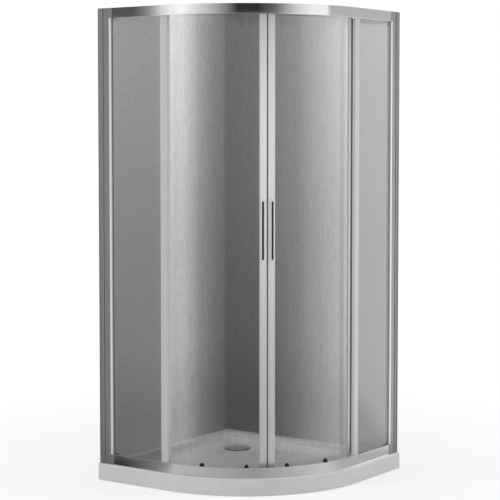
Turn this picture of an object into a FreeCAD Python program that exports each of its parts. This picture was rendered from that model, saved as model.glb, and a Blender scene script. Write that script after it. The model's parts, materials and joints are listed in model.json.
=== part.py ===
import FreeCAD, Part
import math
import os
import Sketcher

# Driving dimensions. Lengths are millimetres and names that end in angle are degrees.
# A setback is measured inward from the outer face of the rails, a reach along the wall side
# from the wall, and an inset inward from the edge of the tray.
DIMENSIONS = {
    # Plan and heights
    "side_length": 900.0,
    "corner_radius": 550.0,
    "tray_height": 68.0,
    "enclosure_height": 1850.0,
    # Tray
    "rim_front": 80.0,
    "rim_wall": 45.0,
    "basin_depth": 26.0,
    "basin_corner_radius": 40.0,
    "basin_floor_radius": 10.0,
    "tray_edge_radius": 6.0,
    "waste_chamber_radius": 70.0,
    "waste_chamber_height": 18.0,
    "drain_setback": 205.0,
    "dish_radius": 150.0,
    "dish_depth": 5.0,
    "waste_seat_radius": 58.0,
    "waste_seat_depth": 4.0,
    "waste_hole_radius": 43.0,
    # Waste
    "waste_ring_clearance": 1.0,
    "waste_gasket_thickness": 1.5,
    "waste_flange_thickness": 2.5,
    "waste_neck_wall": 6.5,
    "waste_neck_clearance": 0.5,
    "waste_neck_engagement": 6.0,
    "waste_nut_radius": 56.0,
    "waste_nut_height": 6.0,
    "waste_cup_wall": 3.0,
    "waste_cup_drop": 13.0,
    "waste_outlet_radius": 20.0,
    "waste_outlet_wall": 3.0,
    "waste_cup_clearance": 0.3,
    "waste_cover_radius": 48.0,
    "waste_cover_thickness": 3.5,
    "waste_cover_bevel": 1.5,
    "waste_cover_lift": 2.5,
    "waste_cover_skirt_wall": 2.5,
    "waste_cover_skirt_height": 9.0,
    "waste_cover_clearance": 0.3,
    # Rails
    "rail_inset": 11.0,
    "rail_height": 41.0,
    "rail_depth": 36.0,
    "rail_wall": 1.8,
    "rail_edge_radius": 0.8,
    "groove_width": 12.4,
    "ledge_height": 12.0,
    "ledge_lip_height": 4.0,
    "upper_lip_height": 7.0,
    "rail_floor": 2.0,
    "floor_lip_height": 5.0,
    "groove_wall_height": 26.0,
    # Wall profiles and jambs
    "profile_reach": 26.0,
    "profile_depth": 32.0,
    "profile_wall": 1.6,
    "profile_cap_thickness": 3.0,
    "wall_hole_radius": 2.5,
    "wall_hole_margin": 175.0,
    "jamb_start": 8.0,
    "jamb_width": 48.0,
    "jamb_wall": 1.6,
    "jamb_clearance": 0.4,
    "pane_slot_depth": 16.0,
    "jamb_screw_reach": 17.0,
    "jamb_screw_margin": 260.0,
    "screw_shank_radius": 1.75,
    "screw_hole_clearance": 0.1,
    "screw_head_radius": 3.6,
    "screw_head_height": 2.0,
    "screw_tip": 3.0,
    # Fixed panes and their trim
    "glass_thickness": 6.0,
    "fixed_pane_setback": 5.0,
    "pane_before_bend": 7.0,
    "pane_edge_gap": 4.0,
    "pane_foot": 6.0,
    "glazing_gap": 1.4,
    "fit_clearance": 0.1,
    "bead_width": 11.0,
    "bead_setback": 1.0,
    "bead_edge_radius": 1.2,
    "gasket_lip_width": 2.5,
    "gasket_lip_depth": 1.6,
    "edge_wall": 1.2,
    "edge_front_leg": 27.0,
    "edge_back_leg": 14.0,
    "edge_web": 2.9,
    "seal_thickness": 1.5,
    "seal_fin": 4.0,
    "seal_fin_thickness": 1.0,
    "seal_end_gap": 1.0,
    # Corner blocks and door stops
    "corner_length": 18.0,
    "corner_web": 4.0,
    "tongue_length": 30.0,
    "tongue_depth": 6.0,
    "tongue_clearance": 0.6,
    "stop_before_bend": 116.0,
    "stop_length": 14.0,
    "stop_depth": 10.0,
    "stop_height": 18.0,
    "stop_clearance": 1.0,
    # Doors
    "door_glass_setback": 46.0,
    "door_lift": 4.0,
    "door_top_gap": 4.0,
    "door_outer_angle": 50.5,
    "meeting_gap": 2.5,
    "meeting_stile_width": 27.5,
    "meeting_stile_outside": 5.0,
    "meeting_stile_inside": 5.5,
    "stile_slot_depth": 16.5,
    "stile_glass_play": 1.0,
    "slot_outer_clearance": 0.3,
    "slot_inner_clearance": 1.2,
    "magnet_width": 9.6,
    "magnet_groove_depth": 6.5,
    "magnet_gap": 0.2,
    "outer_stile_width": 30.0,
    "outer_stile_cheek": 4.0,
    "wiper_base_width": 12.0,
    "wiper_base_thickness": 1.5,
    "wiper_edge": 2.0,
    "wiper_fin": 4.5,
    "wiper_fin_thickness": 1.2,
    # Handles
    "handle_centre_height": 1037.0,
    "handle_offset": 19.0,
    "handle_height": 250.0,
    "handle_width": 20.0,
    "handle_thickness": 7.0,
    "handle_corner_radius": 5.0,
    "handle_edge_radius": 1.5,
    "grip_height": 229.0,
    "grip_width": 8.0,
    "grip_depth": 5.5,
    "grip_insert_thickness": 1.5,
    # Rollers
    "inner_roller_angle": 9.5,
    "outer_roller_angle": 30.5,
    "wheel_setback": 26.0,
    "wheel_width": 7.0,
    "wheel_edge_chamfer": 0.8,
    "wheel_side_gap": 0.3,
    "wheel_track_gap": 0.3,
    "top_wheel_radius": 10.0,
    "bottom_wheel_radius": 9.0,
    "journal_radius": 3.0,
    "journal_clearance": 0.05,
    "retainer_radius": 4.5,
    "retainer_thickness": 1.5,
    "neck_radius": 4.0,
    "axle_hole_radius": 6.0,
    "axle_hole_clearance": 0.3,
    "axle_flange_radius": 9.0,
    "axle_flange_thickness": 4.0,
    "axle_cap_radius": 10.0,
    "axle_cap_thickness": 5.0,
    "seat_clearance": 0.2,
    "arm_width": 18.0,
    "arm_thickness": 5.0,
    "arm_foot": 6.0,
    "arm_height": 40.0,
    "arm_corner_radius": 4.0,
    "arm_bolt_drop": 10.0,
    "bolt_radius": 3.0,
    "bolt_hole_clearance": 0.3,
    "bolt_cap_radius": 8.0,
    "bolt_cap_thickness": 4.0,
}

JAMB_SCREW_COUNT = 3
WALL_HOLE_COUNT = 4
QUARTER_TURN_ANGLE = 90.0
GRIP_CORNER_SHARE = 0.35
MATCH_TOLERANCE = 1e-4

doc = FreeCAD.newDocument("shower_enclosure")
sheet = doc.addObject("Spreadsheet::Sheet", "dims")


class Size:
    """A size with both its number and the sheet expression that gives it."""

    def __init__(self, number, text):
        self.number = number
        self.text = text

    def joined(self, other, sign, number):
        return Size(number, "(%s %s %s)" % (self.text, sign, other.text))

    def __add__(self, other):
        other = as_size(other)
        return self.joined(other, "+", self.number + other.number)

    def __sub__(self, other):
        other = as_size(other)
        return self.joined(other, "-", self.number - other.number)

    def __mul__(self, other):
        other = as_size(other)
        return self.joined(other, "*", self.number * other.number)

    def __truediv__(self, other):
        other = as_size(other)
        return self.joined(other, "/", self.number / other.number)

    def __neg__(self):
        return Size(-self.number, "(-1 * %s)" % self.text)


def as_size(value):
    """Give a plain number the same form as a sheet size."""
    if isinstance(value, Size):
        return value
    return Size(float(value), repr(float(value)))


class SizeSheet:
    """Fills the sheet and hands out each cell as an attribute."""

    def __init__(self, dimensions):
        for row, (alias, number) in enumerate(dimensions.items(), start=1):
            sheet.set("A%d" % row, alias)
            sheet.set("B%d" % row, repr(number))
            sheet.setAlias("B%d" % row, alias)
            setattr(self, alias, Size(number, "dims." + alias))


dim = SizeSheet(DIMENSIONS)
doc.recompute()
NONE = as_size(0)


class Place:
    """Where a body stands: a base point and a turn about the vertical."""

    def __init__(self, east=NONE, north=NONE, height=NONE, turn=NONE):
        self.east = east
        self.north = north
        self.height = height
        self.turn = turn

    def expression(self):
        spot = "vector(%s; %s; %s)" % (self.east.text, self.north.text, self.height.text)
        return "placement(%s; rotation(vector(0; 0; 1); %s))" % (spot, self.turn.text)


class Bend:
    """An arc edge of an outline, about a centre, left-handed or right-handed."""

    def __init__(self, centre, radius, counter_clockwise):
        self.centre = centre
        self.radius = radius
        self.counter_clockwise = counter_clockwise


class Circle:
    """A full circle in a sketch."""

    def __init__(self, across, up, radius):
        self.across = across
        self.up = up
        self.radius = radius


def vector(point):
    return FreeCAD.Vector(point[0].number, point[1].number, 0)


def bind_point(sketch, geometry, end, point):
    """Tie a sketch point to its two sizes."""
    rows = (("DistanceX", point[0], -2), ("DistanceY", point[1], -1))
    for kind, size, axis in rows:
        if abs(size.number) < MATCH_TOLERANCE:
            sketch.addConstraint(Sketcher.Constraint("PointOnObject", geometry, end, axis))
            continue
        index = sketch.addConstraint(Sketcher.Constraint(kind, -1, 1, geometry, end, size.number))
        sketch.setExpression("Constraints[%d]" % index, size.text)


def bind_radius(sketch, geometry, radius):
    index = sketch.addConstraint(Sketcher.Constraint("Radius", geometry, radius.number))
    sketch.setExpression("Constraints[%d]" % index, radius.text)


def draw_edge(sketch, start, finish, bend):
    """Add one edge and return its number and the ends that lie at start and finish."""
    here = vector(start)
    there = vector(finish)
    if bend is None:
        return sketch.addGeometry(Part.LineSegment(here, there), False), 1, 2
    centre = vector(bend.centre)
    ring = Part.Circle(centre, FreeCAD.Vector(0, 0, 1), bend.radius.number)
    first, last = (here, there) if bend.counter_clockwise else (there, here)
    begin = math.atan2(first.y - centre.y, first.x - centre.x)
    end = math.atan2(last.y - centre.y, last.x - centre.x)
    if end <= begin:
        end += 2 * math.pi
    number = sketch.addGeometry(Part.ArcOfCircle(ring, begin, end), False)
    if bend.counter_clockwise:
        return number, 1, 2
    return number, 2, 1


def draw_outline(sketch, corners):
    """Draw a closed outline. A corner is (across, up) or (across, up, Bend of the edge to it)."""
    edges = []
    for index, corner in enumerate(corners):
        previous = corners[index - 1]
        bend = corner[2] if len(corner) > 2 else None
        edges.append(draw_edge(sketch, previous, corner, bend))
    for index, corner in enumerate(corners):
        number, finish_end = edges[index][0], edges[index][2]
        following, following_start = edges[(index + 1) % len(edges)][:2]
        sketch.addConstraint(
            Sketcher.Constraint("Coincident", number, finish_end, following, following_start))
        bind_point(sketch, number, finish_end, corner)
        if len(corner) > 2:
            bind_radius(sketch, number, corner[2].radius)


def draw_circle(sketch, circle):
    ring = Part.Circle(vector((circle.across, circle.up)), FreeCAD.Vector(0, 0, 1), circle.radius.number)
    number = sketch.addGeometry(ring, False)
    bind_point(sketch, number, 3, (circle.across, circle.up))
    bind_radius(sketch, number, circle.radius)


def make_sketch(body, role, loops, offset=NONE, turn=NONE):
    """Sketch loops on an origin plane, moved along its normal or turned about the vertical."""
    sketch = body.newObject("Sketcher::SketchObject", body.Label + "_sketch")
    plane = next(item for item in body.Origin.OriginFeatures if item.Role == role)
    sketch.AttachmentSupport = (plane, [""])
    sketch.MapMode = "FlatFace"
    spot = "vector(0; 0; %s)" % offset.text
    sketch.setExpression("AttachmentOffset",
                         "placement(%s; rotation(vector(0; 1; 0); %s))" % (spot, turn.text))
    for loop in loops:
        if isinstance(loop, Circle):
            draw_circle(sketch, loop)
        else:
            draw_outline(sketch, loop)
    return sketch


def make_body(label, place):
    body = doc.addObject("PartDesign::Body", label)
    body.Label = label
    body.AllowCompound = True
    body.setExpression("Placement", place.expression())
    return body


def pad(body, sketch, length, backward=False):
    feature = body.newObject("PartDesign::Pad", body.Label + "_pad")
    feature.Profile = sketch
    feature.setExpression("Length", length.text)
    feature.Reversed = backward
    sketch.Visibility = False
    return feature


def pocket(body, sketch, length=None, forward=False):
    """Cut a sketch against its normal, or along it when forward, to a depth or through all."""
    feature = body.newObject("PartDesign::Pocket", body.Label + "_pocket")
    feature.Profile = sketch
    feature.Reversed = forward
    if length is None:
        feature.Type = "ThroughAll"
    else:
        feature.setExpression("Length", length.text)
    sketch.Visibility = False
    return feature


def revolve(body, sketch, axis, angle=None):
    feature = body.newObject("PartDesign::Revolution", body.Label + "_revolution")
    feature.Profile = sketch
    feature.ReferenceAxis = (sketch, [axis])
    if angle is not None:
        feature.setExpression("Angle", angle.text)
    sketch.Visibility = False
    return feature


def dress(body, kind, amount, wanted):
    """Fillet or chamfer the edges of the tip that the wanted test picks."""
    doc.recompute()
    base = body.Tip
    names = ["Edge%d" % number for number, edge in enumerate(base.Shape.Edges, start=1) if wanted(edge)]
    feature = body.newObject("PartDesign::" + kind, body.Label + "_" + kind.lower())
    feature.Base = (base, names)
    feature.setExpression("Radius" if kind == "Fillet" else "Size", amount.text)
    return feature


def same(first, second):
    return abs(first - second) < MATCH_TOLERANCE


def level_edge(edge, height):
    """True for an edge that lies wholly at one height."""
    box = edge.BoundBox
    return same(box.ZMin, height.number) and same(box.ZMax, height.number)


def front_edge(edge, radius, height):
    """True for a level edge that follows the front of the plan in the arc centre frame."""
    if not level_edge(edge, height):
        return False
    middle = edge.valueAt((edge.FirstParameter + edge.LastParameter) / 2)
    on_left = middle.x < 0 and same(middle.y, -radius.number)
    on_right = middle.y > 0 and same(middle.x, radius.number)
    return on_left or on_right or same(math.hypot(middle.x, middle.y), radius.number)


def rectangle(left, low, right, high):
    return [(left, low), (right, low), (right, high), (left, high)]


def rounded_rectangle(centre, width, height, radius):
    """A rectangle about a centre with the same arc at each corner."""
    left = centre[0] - width / 2
    right = centre[0] + width / 2
    low = centre[1] - height / 2
    high = centre[1] + height / 2
    bends = {}
    for east, east_size in (("left", left + radius), ("right", right - radius)):
        for north, north_size in (("low", low + radius), ("high", high - radius)):
            bends[east + north] = Bend((east_size, north_size), radius, True)
    return [
        (left + radius, low, bends["leftlow"]),
        (right - radius, low),
        (right, low + radius, bends["rightlow"]),
        (right, high - radius),
        (right - radius, high, bends["righthigh"]),
        (left + radius, high),
        (left, high - radius, bends["lefthigh"]),
        (left, low + radius),
    ]


# Places that several pieces share
half_side = dim.side_length / 2
straight = dim.side_length - dim.corner_radius
total_height = dim.tray_height + dim.enclosure_height
arc_centre = (half_side - dim.corner_radius, dim.corner_radius - half_side)
top_rail_base = total_height - dim.rail_height
bottom_rail_top = dim.tray_height + dim.rail_height
between_rails = top_rail_base - bottom_rail_top
jamb_end = dim.jamb_start + dim.jamb_width
profile_height = dim.enclosure_height - dim.profile_cap_thickness
rail_start = jamb_end + dim.corner_length
slot_front = dim.fixed_pane_setback - dim.glazing_gap
slot_back = dim.fixed_pane_setback + dim.glass_thickness + dim.glazing_gap
slot_bottom = jamb_end - dim.pane_slot_depth
pane_back = dim.fixed_pane_setback + dim.glass_thickness
pane_end = straight - dim.pane_before_bend
groove_back = dim.rail_wall + dim.groove_width
groove_wall_back = groove_back + dim.rail_wall
lip_front = dim.rail_depth - dim.rail_wall
door_outside = dim.corner_radius - dim.rail_inset - dim.door_glass_setback
door_inside = door_outside - dim.glass_thickness
door_base = dim.tray_height + dim.door_lift
door_height = dim.enclosure_height - dim.door_lift - dim.door_top_gap
wheel_line = dim.corner_radius - dim.rail_inset - dim.wheel_setback
top_axle_height = top_rail_base + dim.ledge_height + dim.wheel_track_gap + dim.top_wheel_radius
bottom_axle_height = dim.tray_height + dim.rail_floor + dim.wheel_track_gap + dim.bottom_wheel_radius
arm_base = dim.tray_height + dim.arm_foot
arm_bolt_height = arm_base + dim.arm_height - dim.arm_bolt_drop


class Side:
    """One half of the enclosure. The right half is the left one mirrored in the diagonal."""

    def __init__(self, name, hand):
        self.name = name
        self.hand = hand

    def label(self, piece):
        return "%s_%s" % (piece, self.name)

    def wall_place(self):
        """Frame at the wall: its first axis runs along the fixed pane."""
        corner = half_side * -self.hand
        turn = NONE if self.hand > 0 else as_size(-QUARTER_TURN_ANGLE)
        return Place(corner, corner, NONE, turn)

    def polar_place(self, angle):
        """Frame at the arc centre: its first axis points outward at an angle from the meeting line."""
        turn = angle * -self.hand - QUARTER_TURN_ANGLE / 2
        return Place(arc_centre[0], arc_centre[1], NONE, turn)

    def inset(self, setback):
        """Second coordinate in the wall frame of a setback from the rail face."""
        return (dim.rail_inset + setback) * self.hand

    def along(self, distance):
        """Second coordinate in a polar frame of a distance away from the meeting line."""
        return distance * -self.hand


SIDES = (Side("left", 1), Side("right", -1))
pieces = []


def keep(item):
    """Put an object on the list of pieces that are written out."""
    pieces.append(item)
    return item


def quadrant(front_inset, wall_inset):
    """Outline of the tray in the arc centre frame, drawn in from the front and from the walls."""
    radius = dim.corner_radius - front_inset
    wall = straight - wall_inset
    return [
        (-wall, -radius),
        (NONE, -radius),
        (radius, NONE, Bend((NONE, NONE), radius, True)),
        (radius, wall),
        (-wall, wall),
    ]


def make_tray():
    body = keep(make_body("shower_tray", Place(arc_centre[0], arc_centre[1])))
    floor = dim.tray_height - dim.basin_depth
    seat_top = floor - dim.dish_depth
    drain = (dim.drain_setback - straight, straight - dim.drain_setback)
    pad(body, make_sketch(body, "XY_Plane", [quadrant(NONE, NONE)]), dim.tray_height)
    basin = quadrant(dim.rim_front, dim.rim_wall)
    pocket(body, make_sketch(body, "XY_Plane", [basin], dim.tray_height), dim.basin_depth)
    radius = dim.corner_radius.number - dim.rim_front.number
    wall = straight.number - dim.rim_wall.number
    spots = ((-wall, -radius), (radius, wall), (-wall, wall))

    def basin_corner(edge):
        box = edge.BoundBox
        upright = same(box.XMin, box.XMax) and same(box.YMin, box.YMax)
        return upright and any(same(box.XMin, x) and same(box.YMin, y) for x, y in spots)

    dress(body, "Fillet", dim.basin_corner_radius, basin_corner)
    dress(body, "Fillet", dim.basin_floor_radius, lambda edge: level_edge(edge, floor))
    dress(body, "Fillet", dim.tray_edge_radius,
          lambda edge: front_edge(edge, dim.corner_radius, dim.tray_height))
    dish = body.newObject("PartDesign::SubtractiveCone", "shower_tray_dish")
    dish.AttachmentSupport = (next(f for f in body.Origin.OriginFeatures if f.Role == "XY_Plane"), [""])
    dish.MapMode = "FlatFace"
    dish.setExpression("AttachmentOffset.Base.x", drain[0].text)
    dish.setExpression("AttachmentOffset.Base.y", drain[1].text)
    dish.setExpression("AttachmentOffset.Base.z", seat_top.text)
    dish.setExpression("Radius1", dim.waste_seat_radius.text)
    dish.setExpression("Radius2", dim.dish_radius.text)
    dish.setExpression("Height", dim.dish_depth.text)
    seat = Circle(drain[0], drain[1], dim.waste_seat_radius)
    pocket(body, make_sketch(body, "XY_Plane", [seat], seat_top), dim.waste_seat_depth)
    hole = Circle(drain[0], drain[1], dim.waste_hole_radius)
    pocket(body, make_sketch(body, "XY_Plane", [hole]), forward=True)
    chamber = Circle(drain[0], drain[1], dim.waste_chamber_radius)
    pocket(body, make_sketch(body, "XY_Plane", [chamber]), dim.waste_chamber_height, forward=True)


def drain_piece(label, profile):
    """Turn a profile of (radius, height) corners about the drain."""
    place = Place(dim.drain_setback - half_side, half_side - dim.drain_setback)
    body = keep(make_body(label, place))
    revolve(body, make_sketch(body, "XZ_Plane", [profile]), "V_Axis")


def make_waste():
    seat = dim.tray_height - dim.basin_depth - dim.dish_depth - dim.waste_seat_depth
    ring = dim.waste_seat_radius - dim.waste_ring_clearance
    flange_base = seat + dim.waste_gasket_thickness
    flange_top = flange_base + dim.waste_flange_thickness
    neck = dim.waste_hole_radius - dim.waste_neck_clearance
    bore = neck - dim.waste_neck_wall
    drain_piece("waste_gasket", rectangle(dim.waste_hole_radius, seat, ring, flange_base))
    neck_foot = dim.waste_chamber_height - dim.waste_neck_engagement
    drain_piece("waste_flange", [
        (bore, neck_foot),
        (neck, neck_foot),
        (neck, flange_base),
        (ring, flange_base),
        (ring, flange_top),
        (bore, flange_top),
    ])
    nut_base = dim.waste_chamber_height - dim.waste_nut_height
    cup = neck + dim.waste_cup_clearance
    cup_base = dim.waste_chamber_height - dim.waste_cup_drop
    cup_floor = cup_base + dim.waste_cup_wall
    pipe = dim.waste_outlet_radius + dim.waste_outlet_wall
    drain_piece("waste_body", [
        (dim.waste_outlet_radius, NONE),
        (pipe, NONE),
        (pipe, cup_base),
        (cup + dim.waste_cup_wall, cup_base),
        (cup + dim.waste_cup_wall, nut_base),
        (dim.waste_nut_radius, nut_base),
        (dim.waste_nut_radius, dim.waste_chamber_height),
        (cup, dim.waste_chamber_height),
        (cup, cup_floor),
        (dim.waste_outlet_radius, cup_floor),
    ])
    cover_base = flange_top + dim.waste_cover_lift
    cover_top = cover_base + dim.waste_cover_thickness
    skirt = bore - dim.waste_cover_clearance
    skirt_inside = skirt - dim.waste_cover_skirt_wall
    skirt_foot = cover_base - dim.waste_cover_skirt_height
    drain_piece("waste_cover", [
        (NONE, cover_base),
        (skirt_inside, cover_base),
        (skirt_inside, skirt_foot),
        (skirt, skirt_foot),
        (skirt, cover_base),
        (dim.waste_cover_radius, cover_base),
        (dim.waste_cover_radius, cover_top - dim.waste_cover_bevel),
        (dim.waste_cover_radius - dim.waste_cover_bevel, cover_top),
        (NONE, cover_top),
    ])


def rail_strip(body, front, back, base, height):
    """Pad the part of a rail that lies between two setbacks, from end to end of the bend."""
    outer = dim.corner_radius - dim.rail_inset - front
    inner = dim.corner_radius - dim.rail_inset - back
    end = straight - rail_start
    outline = [
        (-end, -outer),
        (NONE, -outer),
        (outer, NONE, Bend((NONE, NONE), outer, True)),
        (outer, end),
        (inner, end),
        (inner, NONE),
        (NONE, -inner, Bend((NONE, NONE), inner, False)),
        (-end, -inner),
    ]
    pad(body, make_sketch(body, "XY_Plane", [outline], base), height)


def make_rails():
    top = keep(make_body("top_rail", Place(arc_centre[0], arc_centre[1], top_rail_base)))
    web_base = dim.rail_height - dim.rail_wall
    ledge_base = dim.ledge_height - dim.rail_wall
    rail_strip(top, NONE, dim.rail_depth, web_base, dim.rail_wall)
    rail_strip(top, NONE, dim.rail_wall, NONE, dim.rail_height)
    rail_strip(top, groove_back, groove_wall_back, ledge_base, dim.rail_height - ledge_base)
    rail_strip(top, groove_back, dim.rail_depth, ledge_base, dim.rail_wall)
    rail_strip(top, lip_front, dim.rail_depth, ledge_base, dim.rail_wall + dim.ledge_lip_height)
    rail_strip(top, lip_front, dim.rail_depth, web_base - dim.upper_lip_height,
               dim.upper_lip_height + dim.rail_wall)
    face = dim.corner_radius - dim.rail_inset
    for edge_height in (NONE, dim.rail_height):
        dress(top, "Fillet", dim.rail_edge_radius, lambda edge: front_edge(edge, face, edge_height))
    bottom = keep(make_body("bottom_rail", Place(arc_centre[0], arc_centre[1], dim.tray_height)))
    rail_strip(bottom, NONE, dim.rail_depth, NONE, dim.rail_floor)
    rail_strip(bottom, NONE, dim.rail_wall, NONE, dim.rail_height)
    rail_strip(bottom, groove_back, groove_wall_back, NONE, dim.groove_wall_height)
    rail_strip(bottom, lip_front, dim.rail_depth, NONE, dim.floor_lip_height)
    dress(bottom, "Fillet", dim.rail_edge_radius, lambda edge: front_edge(edge, face, dim.rail_height))


def wall_piece(side, piece, loops, base, height):
    """Pad loops of (reach, setback) corners upright in the wall frame of a side."""
    body = keep(make_body(side.label(piece), side.wall_place()))
    turned = [[(reach, side.inset(setback)) for reach, setback in loop] for loop in loops]
    pad(body, make_sketch(body, "XY_Plane", turned, base), height)
    return body


def across_sketch(body, side, loops, setback):
    """Sketch (reach, height) loops on an upright plane at a setback in the wall frame."""
    return make_sketch(body, "XZ_Plane", loops, -side.inset(setback))


def screw_circles(radius):
    """The jamb screws, spread evenly up the jamb."""
    spread = dim.enclosure_height - dim.jamb_screw_margin * 2
    step = spread / (JAMB_SCREW_COUNT - 1)
    first = dim.tray_height + dim.jamb_screw_margin
    return [Circle(dim.jamb_screw_reach, first + step * number, radius) for number in range(JAMB_SCREW_COUNT)]


def make_wall_profile(side):
    wall = dim.profile_wall
    inner = dim.profile_depth - wall
    body = wall_piece(side, "wall_profile", [[
        (NONE, NONE),
        (dim.profile_reach, NONE),
        (dim.profile_reach, wall),
        (wall, wall),
        (wall, inner),
        (dim.profile_reach, inner),
        (dim.profile_reach, dim.profile_depth),
        (NONE, dim.profile_depth),
    ]], dim.tray_height, profile_height)
    step = (dim.enclosure_height - dim.wall_hole_margin * 2) / (WALL_HOLE_COUNT - 1)
    first = dim.tray_height + dim.wall_hole_margin
    middle = side.inset(dim.profile_depth / 2)
    holes = [Circle(middle, first + step * number, dim.wall_hole_radius) for number in range(WALL_HOLE_COUNT)]
    pocket(body, make_sketch(body, "YZ_Plane", holes), wall, forward=True)
    screw_hole = dim.screw_shank_radius + dim.screw_hole_clearance
    holes = across_sketch(body, side, screw_circles(screw_hole), inner)
    pocket(body, holes, wall, forward=side.hand < 0)


def make_jamb(side):
    front = dim.profile_wall + dim.jamb_clearance
    back = dim.profile_depth - front
    wall = dim.jamb_wall
    outline = [
        (dim.jamb_start, front),
        (jamb_end, front),
        (jamb_end, slot_front),
        (slot_bottom, slot_front),
        (slot_bottom, slot_back),
        (jamb_end, slot_back),
        (jamb_end, back),
        (dim.jamb_start, back),
    ]
    chamber = rectangle(dim.jamb_start + wall, front + wall, slot_bottom - wall, back - wall)
    side_chamber = rectangle(slot_bottom, slot_back + wall, jamb_end - wall, back - wall)
    loops = [outline, chamber, side_chamber]
    body = wall_piece(side, "jamb", loops, dim.tray_height, profile_height)
    screw_hole = dim.screw_shank_radius + dim.screw_hole_clearance
    holes = across_sketch(body, side, screw_circles(screw_hole), back - wall)
    pocket(body, holes, wall, forward=side.hand < 0)


def make_profile_cap(side):
    """Cap that closes the top of the wall profile and the jamb."""
    cap = rectangle(NONE, NONE, jamb_end, dim.profile_depth)
    wall_piece(side, "profile_cap", [cap], dim.tray_height + profile_height, dim.profile_cap_thickness)


def make_jamb_screws(side):
    body = keep(make_body(side.label("jamb_screws"), side.wall_place()))
    seat = dim.profile_depth
    tip = seat - dim.profile_wall - dim.jamb_clearance - dim.jamb_wall - dim.screw_tip
    shank = across_sketch(body, side, screw_circles(dim.screw_shank_radius), tip)
    pad(body, shank, seat - tip, backward=side.hand > 0)
    head = across_sketch(body, side, screw_circles(dim.screw_head_radius), seat)
    pad(body, head, dim.screw_head_height, backward=side.hand > 0)


def make_fixed_pane(side):
    pane = rectangle(slot_bottom + dim.pane_edge_gap, dim.fixed_pane_setback, pane_end, pane_back)
    base = dim.tray_height + dim.pane_foot
    wall_piece(side, "fixed_glass", [pane], base, dim.enclosure_height - dim.pane_foot * 2)


def make_glazing_trim(side):
    pane_front_gap = dim.fixed_pane_setback - dim.fit_clearance
    bead_end = jamb_end + dim.bead_width
    bead = rectangle(jamb_end, dim.bead_setback, bead_end, pane_front_gap)
    body = wall_piece(side, "glazing_bead", [bead], bottom_rail_top, between_rails)
    front = abs(side.inset(dim.bead_setback).number)

    def bead_corner(edge):
        box = edge.BoundBox
        tall = same(box.ZLength, between_rails.number)
        return tall and same(abs(box.YMin), front) and same(abs(box.YMax), front)

    dress(body, "Fillet", dim.bead_edge_radius, bead_corner)
    strip_bottom = slot_bottom + dim.fit_clearance
    outer_strip = rectangle(strip_bottom, slot_front + dim.fit_clearance, jamb_end, pane_front_gap)
    inner_strip = rectangle(strip_bottom, pane_back + dim.fit_clearance, jamb_end,
                            slot_back - dim.fit_clearance)
    lip = rectangle(bead_end, pane_front_gap - dim.gasket_lip_depth, bead_end + dim.gasket_lip_width,
                    pane_front_gap)
    wall_piece(side, "glazing_gasket", [outer_strip, inner_strip, lip], bottom_rail_top, between_rails)


def make_edge_trim(side):
    """Channel on the free edge of the fixed pane, and the seal on its end that faces the door."""
    pane_front_gap = dim.fixed_pane_setback - dim.fit_clearance
    pane_back_gap = pane_back + dim.fit_clearance
    outside = pane_front_gap - dim.edge_wall
    inside = pane_back_gap + dim.edge_wall
    front_start = pane_end - dim.edge_front_leg
    back_start = pane_end - dim.edge_back_leg
    web_start = pane_end + dim.fit_clearance
    web_end = web_start + dim.edge_web
    channel = [
        (front_start, outside),
        (web_end, outside),
        (web_end, inside),
        (back_start, inside),
        (back_start, pane_back_gap),
        (web_start, pane_back_gap),
        (web_start, pane_front_gap),
        (front_start, pane_front_gap),
    ]
    wall_piece(side, "edge_profile", [channel], bottom_rail_top, between_rails)
    seal_end = web_end + dim.seal_thickness
    fin_start = seal_end - dim.seal_fin_thickness
    fin_tip = inside + dim.seal_fin
    seal = [
        (web_end, outside),
        (seal_end, outside),
        (seal_end, fin_tip),
        (fin_start, fin_tip),
        (fin_start, inside),
        (web_end, inside),
    ]
    base = bottom_rail_top + dim.seal_end_gap
    wall_piece(side, "edge_seal", [seal], base, between_rails - dim.seal_end_gap * 2)


def make_corner_blocks(side):
    """Blocks that close the rail ends, with a slot for the pane and a tongue into the rail."""
    block = rectangle(jamb_end, NONE, rail_start, dim.rail_depth)
    slot = [(reach, side.inset(setback)) for reach, setback in
            rectangle(jamb_end, slot_front, rail_start, slot_back)]
    tongue_front = groove_wall_back + dim.tongue_clearance
    tongue = [(reach, side.inset(setback)) for reach, setback in
              rectangle(rail_start, tongue_front, rail_start + dim.tongue_length,
                        tongue_front + dim.tongue_depth)]
    slot_depth = dim.rail_height - dim.corner_web
    top = wall_piece(side, "corner_top", [block], top_rail_base, dim.rail_height)
    pocket(top, make_sketch(top, "XY_Plane", [slot], top_rail_base), slot_depth, forward=True)
    tongue_base = top_rail_base + dim.ledge_height + dim.tongue_clearance
    tongue_top = total_height - dim.rail_wall - dim.tongue_clearance
    pad(top, make_sketch(top, "XY_Plane", [tongue], tongue_base), tongue_top - tongue_base)
    bottom = wall_piece(side, "corner_bottom", [block], dim.tray_height, dim.rail_height)
    pocket(bottom, make_sketch(bottom, "XY_Plane", [slot], bottom_rail_top), slot_depth)
    tongue_base = dim.tray_height + dim.rail_floor + dim.tongue_clearance
    tongue_top = dim.tray_height + dim.groove_wall_height
    pad(bottom, make_sketch(bottom, "XY_Plane", [tongue], tongue_base), tongue_top - tongue_base)


def make_door_stop(side):
    """Rubber block on the ledge of the top rail that the outer wheel meets when the door is open."""
    start = straight - dim.stop_before_bend
    back = lip_front - dim.stop_clearance
    stop = rectangle(start, back - dim.stop_depth, start + dim.stop_length, back)
    wall_piece(side, "door_stop", [stop], top_rail_base + dim.ledge_height, dim.stop_height)


def roller_angles():
    return {"inner": dim.inner_roller_angle, "outer": dim.outer_roller_angle}


def angle_of(distance, radius):
    """Angle in degrees that a short distance takes up on a circle."""
    return distance / radius * (180 / math.pi)


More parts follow.
